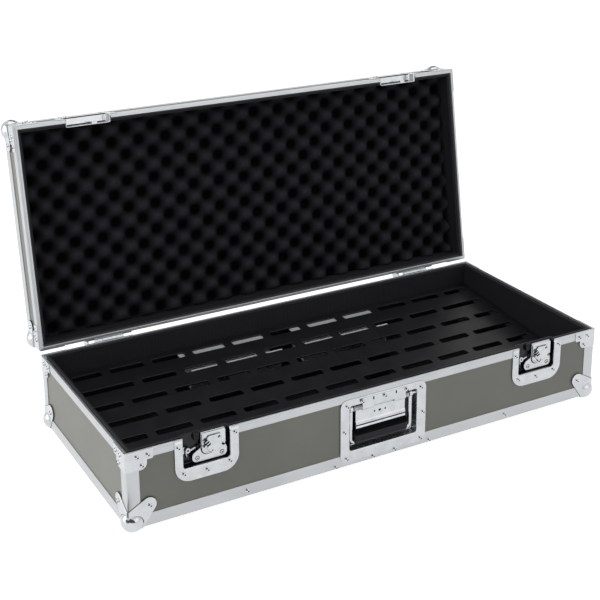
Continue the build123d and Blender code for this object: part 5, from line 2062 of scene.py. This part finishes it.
        # The pan's floor plate, the shade lines, the dark cores and the groove line carry painted
        # shade.
        for name, surface, finish, body, nodes in (
                ("pan", self.dish(), f.zinc, Body.BASE, ["handle_dish"]),
                ("pan_shade_plate", self.floor(), f.dark_steel, Body.BASE, []),
                ("cover", self.cover(), f.zinc, Body.BASE, ["handle_cover_strip"]),
                ("cover_marks", self.cover_marks(), f.shadow, Body.BASE, []),
                ("shields", self.shields(), f.zinc, Body.HANDLE, []),
                ("seams", self.seams(), f.shadow, Body.HANDLE, []),
                ("rod", self.bail(), f.polished, Body.HANDLE, ["handle_bail"]),
                ("coils", self.coils(), f.steel, Body.BASE, []),
                ("core_shade", self.core_shade(), f.dark_steel, Body.BASE, ["handle_return_springs"]),
                ("plate", self.flap(), f.zinc, Body.HANDLE, ["handle_flap"]),
                ("grooves", self.grooves(), f.shadow, Body.HANDLE, [])):
            build(f"handle_{name}", surface, finish, body, nodes, 40)
        grip = self.grip()
        # The grip's upper facets take painted shade: the same rubber, darker on top.
        crown = grip.middles()[:, 2] > self.pivot[1] - self.reach + self.shaded_crown_from
        build("handle_rubber", grip, f.rubber, Body.HANDLE, ["handle_grip"], 40,
              Coat(f.shadow, crown))


@dataclass
class Plain:
    """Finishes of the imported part's own nodes, found by the words in their names."""

    finishes: Finishes

    def finish(self, name: str) -> Material:
        """Finish of a node: that of the first row with a word of its name, or plain zinc.

        Args:
            name: name of the node.

        Returns:
            The material.
        """
        f = self.finishes
        rows = ((("panel",), f.laminate), (("angles", "profile"), f.section),
                (("lining",), f.lining), (("floor_mat",), f.mat), (("foam",), f.foam),
                (("cradle",), f.cradle), (("deck_",), f.powder), (("grip",), f.rubber),
                (("pin", "springs"), f.steel))
        return next((finish for words, finish in rows if any(word in name for word in words)),
                    f.zinc)

    def build(self) -> None:
        """Gives every node its finish."""
        for name, node in frame["nodes"].items():
            finish = self.finish(name)
            node.data.materials.clear()
            node.data.materials.append(finish)
            log.info("%s: %s", name, finish.name)


# ---------------------------------------------------------------- studio
def axes_across(way: Array) -> Array:
    """A level axis, the one over it and a direction, as the columns of a rotation.

    Args:
        way: the direction, of any length.

    Returns:
        Array of shape (3, 3).
    """
    back = way / np.linalg.norm(way)
    side = np.cross([0.0, 0.0, 1.0] if abs(back[2]) < 0.99 else [0.0, 1.0, 0.0], back)
    side /= np.linalg.norm(side)
    return np.stack([side, np.cross(back, side), back], axis=1)


@dataclass
class Studio:
    """Camera, soft lights, white surroundings and floor. Lengths in metres."""

    camera_place: tuple = (-1.0569, -1.8346, 1.1063)
    azimuth: float = -29.738
    elevation: float = 17.222
    roll: float = -0.083
    focal_px: float = 1249.0
    middle_px: tuple = (320.0, 179.2)
    frame_px: float = 600.0
    sensor: float = 36.0
    sky: tuple = ((0.93, 0.96, 1.0, 1.0), 0.36)
    white: tuple = ((1.0, 1.0, 1.0, 1.0), 1.0)
    aim: tuple = (0.0, 0.0, 0.15)
    floor_half: float = 9.0
    floor_glow: float = 0.75

    def camera(self) -> None:
        """Places the camera; its shift keeps the uprights of the case upright."""
        az, el, roll = (math.radians(a) for a in (self.azimuth, self.elevation, self.roll))
        back = np.array([math.sin(az) * math.cos(el), -math.cos(az) * math.cos(el), math.sin(el)])
        right = np.array([math.cos(az), math.sin(az), 0.0])
        up = np.cross(back, right)
        right, up = (math.cos(roll) * right + math.sin(roll) * up,
                     -math.sin(roll) * right + math.cos(roll) * up)
        turn = Matrix(np.stack([right, up, back], axis=1).tolist()).to_4x4()
        data = bpy.data.cameras.new("camera")
        data.sensor_width = self.sensor
        data.lens = self.sensor * self.focal_px / self.frame_px
        data.shift_x = 0.5 - self.middle_px[0] / self.frame_px
        data.shift_y = self.middle_px[1] / self.frame_px - 0.5
        data.clip_end = 50.0
        item = add("camera", data)
        item.matrix_world = Matrix.Translation(self.camera_place) @ turn
        bpy.context.scene.camera = item

    def lamp(self, name: str, place: Sequence[float], size: tuple, power: float) -> None:
        """Adds a soft rectangular lamp that points at the case.

        Args:
            name: name of the lamp.
            place: where it hangs.
            size: width and height.
            power: its power in watts.
        """
        data = bpy.data.lights.new(name, "AREA")
        data.shape = "RECTANGLE"
        data.size, data.size_y = size
        data.energy = power
        turn = Matrix(axes_across(np.subtract(place, self.aim)).tolist()).to_4x4()
        add(name, data).matrix_world = Matrix.Translation(place) @ turn

    def lamps(self) -> None:
        """Soft key from the left, weak fill from the front and a wide light overhead."""
        self.lamp("left_softbox", (-3.4, 0.3, 1.3), (3.6, 2.6), 44.0)
        self.lamp("top_softbox", (0.4, 0.6, 3.4), (3.6, 3.0), 26.0)
        self.lamp("front_softbox", (1.2, -3.6, 1.6), (3.2, 2.2), 12.0)

    def world(self) -> None:
        """White to the camera and in reflections, softer for the light it gives."""
        world = bpy.data.worlds.new("surroundings")
        bpy.context.scene.world = world
        world.use_nodes = True
        tree = world.node_tree
        tree.nodes.clear()
        make, link = tree.nodes.new, tree.links.new
        ray = make("ShaderNodeLightPath")
        seen, either = make("ShaderNodeMath"), make("ShaderNodeMath")
        seen.operation = either.operation = "MAXIMUM"
        link(ray.outputs["Is Camera Ray"], seen.inputs[0])
        link(ray.outputs["Is Transmission Ray"], seen.inputs[1])
        link(seen.outputs[0], either.inputs[0])
        link(ray.outputs["Is Glossy Ray"], either.inputs[1])
        mix, out = make("ShaderNodeMixShader"), make("ShaderNodeOutputWorld")
        link(either.outputs[0], mix.inputs["Fac"])
        for place, (colour, strength) in enumerate((self.sky, self.white), start=1):
            light = make("ShaderNodeBackground")
            light.inputs["Color"].default_value = colour
            light.inputs["Strength"].default_value = strength
            link(light.outputs[0], mix.inputs[place])
        link(mix.outputs[0], out.inputs["Surface"])

    def panel(self, name: str, corners: Sequence[Sequence[float]],
              finish: Material) -> bpy.types.Object:
        """Adds a flat four-cornered stage piece.

        Args:
            name: name of the piece.
            corners: its four corners in metres.
            finish: its material.

        Returns:
            The object.
        """
        mesh = bpy.data.meshes.new(name)
        mesh.from_pydata([tuple(c) for c in corners], [], [(0, 1, 2, 3)])
        mesh.materials.append(finish)
        item = add(name, mesh)
        return item

    def floor(self, level: float) -> None:
        """Pale floor that keeps the case's shadow and fades into the white.

        Args:
            level: height of the floor.
        """
        sheet = NodeSheet("pale_floor", (0.8, 0.8, 0.8), 0.9, specular=0.1)
        ray = sheet.node("ShaderNodeLightPath")
        glow = sheet.node("ShaderNodeEmission", Color=(1.0, 1.0, 1.0, 1.0),
                          Strength=self.floor_glow)
        both = sheet.node("ShaderNodeAddShader")
        sheet.link(sheet.shader.outputs[0], both.inputs[0])
        sheet.link(glow.outputs[0], both.inputs[1])
        seen = sheet.maths("MAXIMUM", ray.outputs["Is Camera Ray"], ray.outputs["Is Glossy Ray"])
        mix = sheet.node("ShaderNodeMixShader")
        sheet.link(seen, mix.inputs["Fac"])
        sheet.link(sheet.shader.outputs[0], mix.inputs[1])
        sheet.link(both.outputs[0], mix.inputs[2])
        sheet.link(mix.outputs[0], sheet.tree.nodes["Material Output"].inputs["Surface"])
        far = self.floor_half
        self.panel("floor", [(-far, -far, level), (far, -far, level), (far, far, level),
                             (-far, far, level)], sheet.material)

    def flag(self, name: str, middle: Sequence[float], size: tuple) -> None:
        """Adds a black card that only shows in reflections.

        Args:
            name: name of the card.
            middle: where it hangs; it faces the case.
            size: its width and height.
        """
        sheet = NodeSheet("black_card", (0.004, 0.004, 0.005), 0.9)
        side, over, _ = axes_across(np.subtract(middle, self.aim)).T
        corners = [np.asarray(middle) + side * (a * size[0] / 2) + over * (b * size[1] / 2)
                   for a, b in ((-1, -1), (1, -1), (1, 1), (-1, 1))]
        card = self.panel(name, corners, sheet.material)
        card.visible_camera = False
        card.visible_diffuse = False
        card.visible_shadow = False
        card.visible_transmission = False

    def flags(self) -> None:
        """Dark cards that give the bright metal its contrast."""
        self.flag("left_card", (-2.3, -0.9, 0.35), (0.9, 0.9))
        self.flag("back_card", (0.9, 2.2, 2.6), (2.6, 1.3))
        self.flag("corner_card", (-0.472, -0.23, 0.03), (0.06, 0.022))

    def build(self, level: float) -> None:
        """Sets up everything round the case.

        Args:
            level: height of the floor.
        """
        self.camera()
        self.lamps()
        self.world()
        self.floor(level)
        self.flags()
        bpy.context.scene.view_settings.view_transform = "Standard"


def main() -> None:
    """Builds the case's pieces in order and the studio round them."""
    finishes = Finishes()
    sizes = CaseSizes()
    base, lid = Shell(sizes, Body.BASE), Shell(sizes, Body.LID)
    Plain(finishes).build()
    for shell in (base, lid):
        Sections(shell).build(finishes)
    BallCorners(base).build(finishes)
    BallCorners(lid, wall_ear=(36.5, 22.5, 12.0, 26.0)).build(finishes)
    CornerBraces(base).build(finishes)
    CornerBraces(lid, lobe=(25.0, 19.0, 9.0)).build(finishes)
    for side in Side:
        LatchDish(base, side).build(finishes)
        LatchDish(lid, side, depth=40.0, corner=18.0, open_depth=22.0,
                  lining_top=1.0).build(finishes)
        LatchWorks(sizes, side).build(finishes)
    HandleUnit(sizes).build(finishes)
    Rivets("base_rivets", Body.BASE).build(finishes)
    Rivets("lid_rivets", Body.LID).build(finishes)
    EggCrate(sizes).build(finishes)
    Deck(sizes).build(finishes)
    Studio().build(cad_box[0][2])


if __name__ == "__main__":
    main()
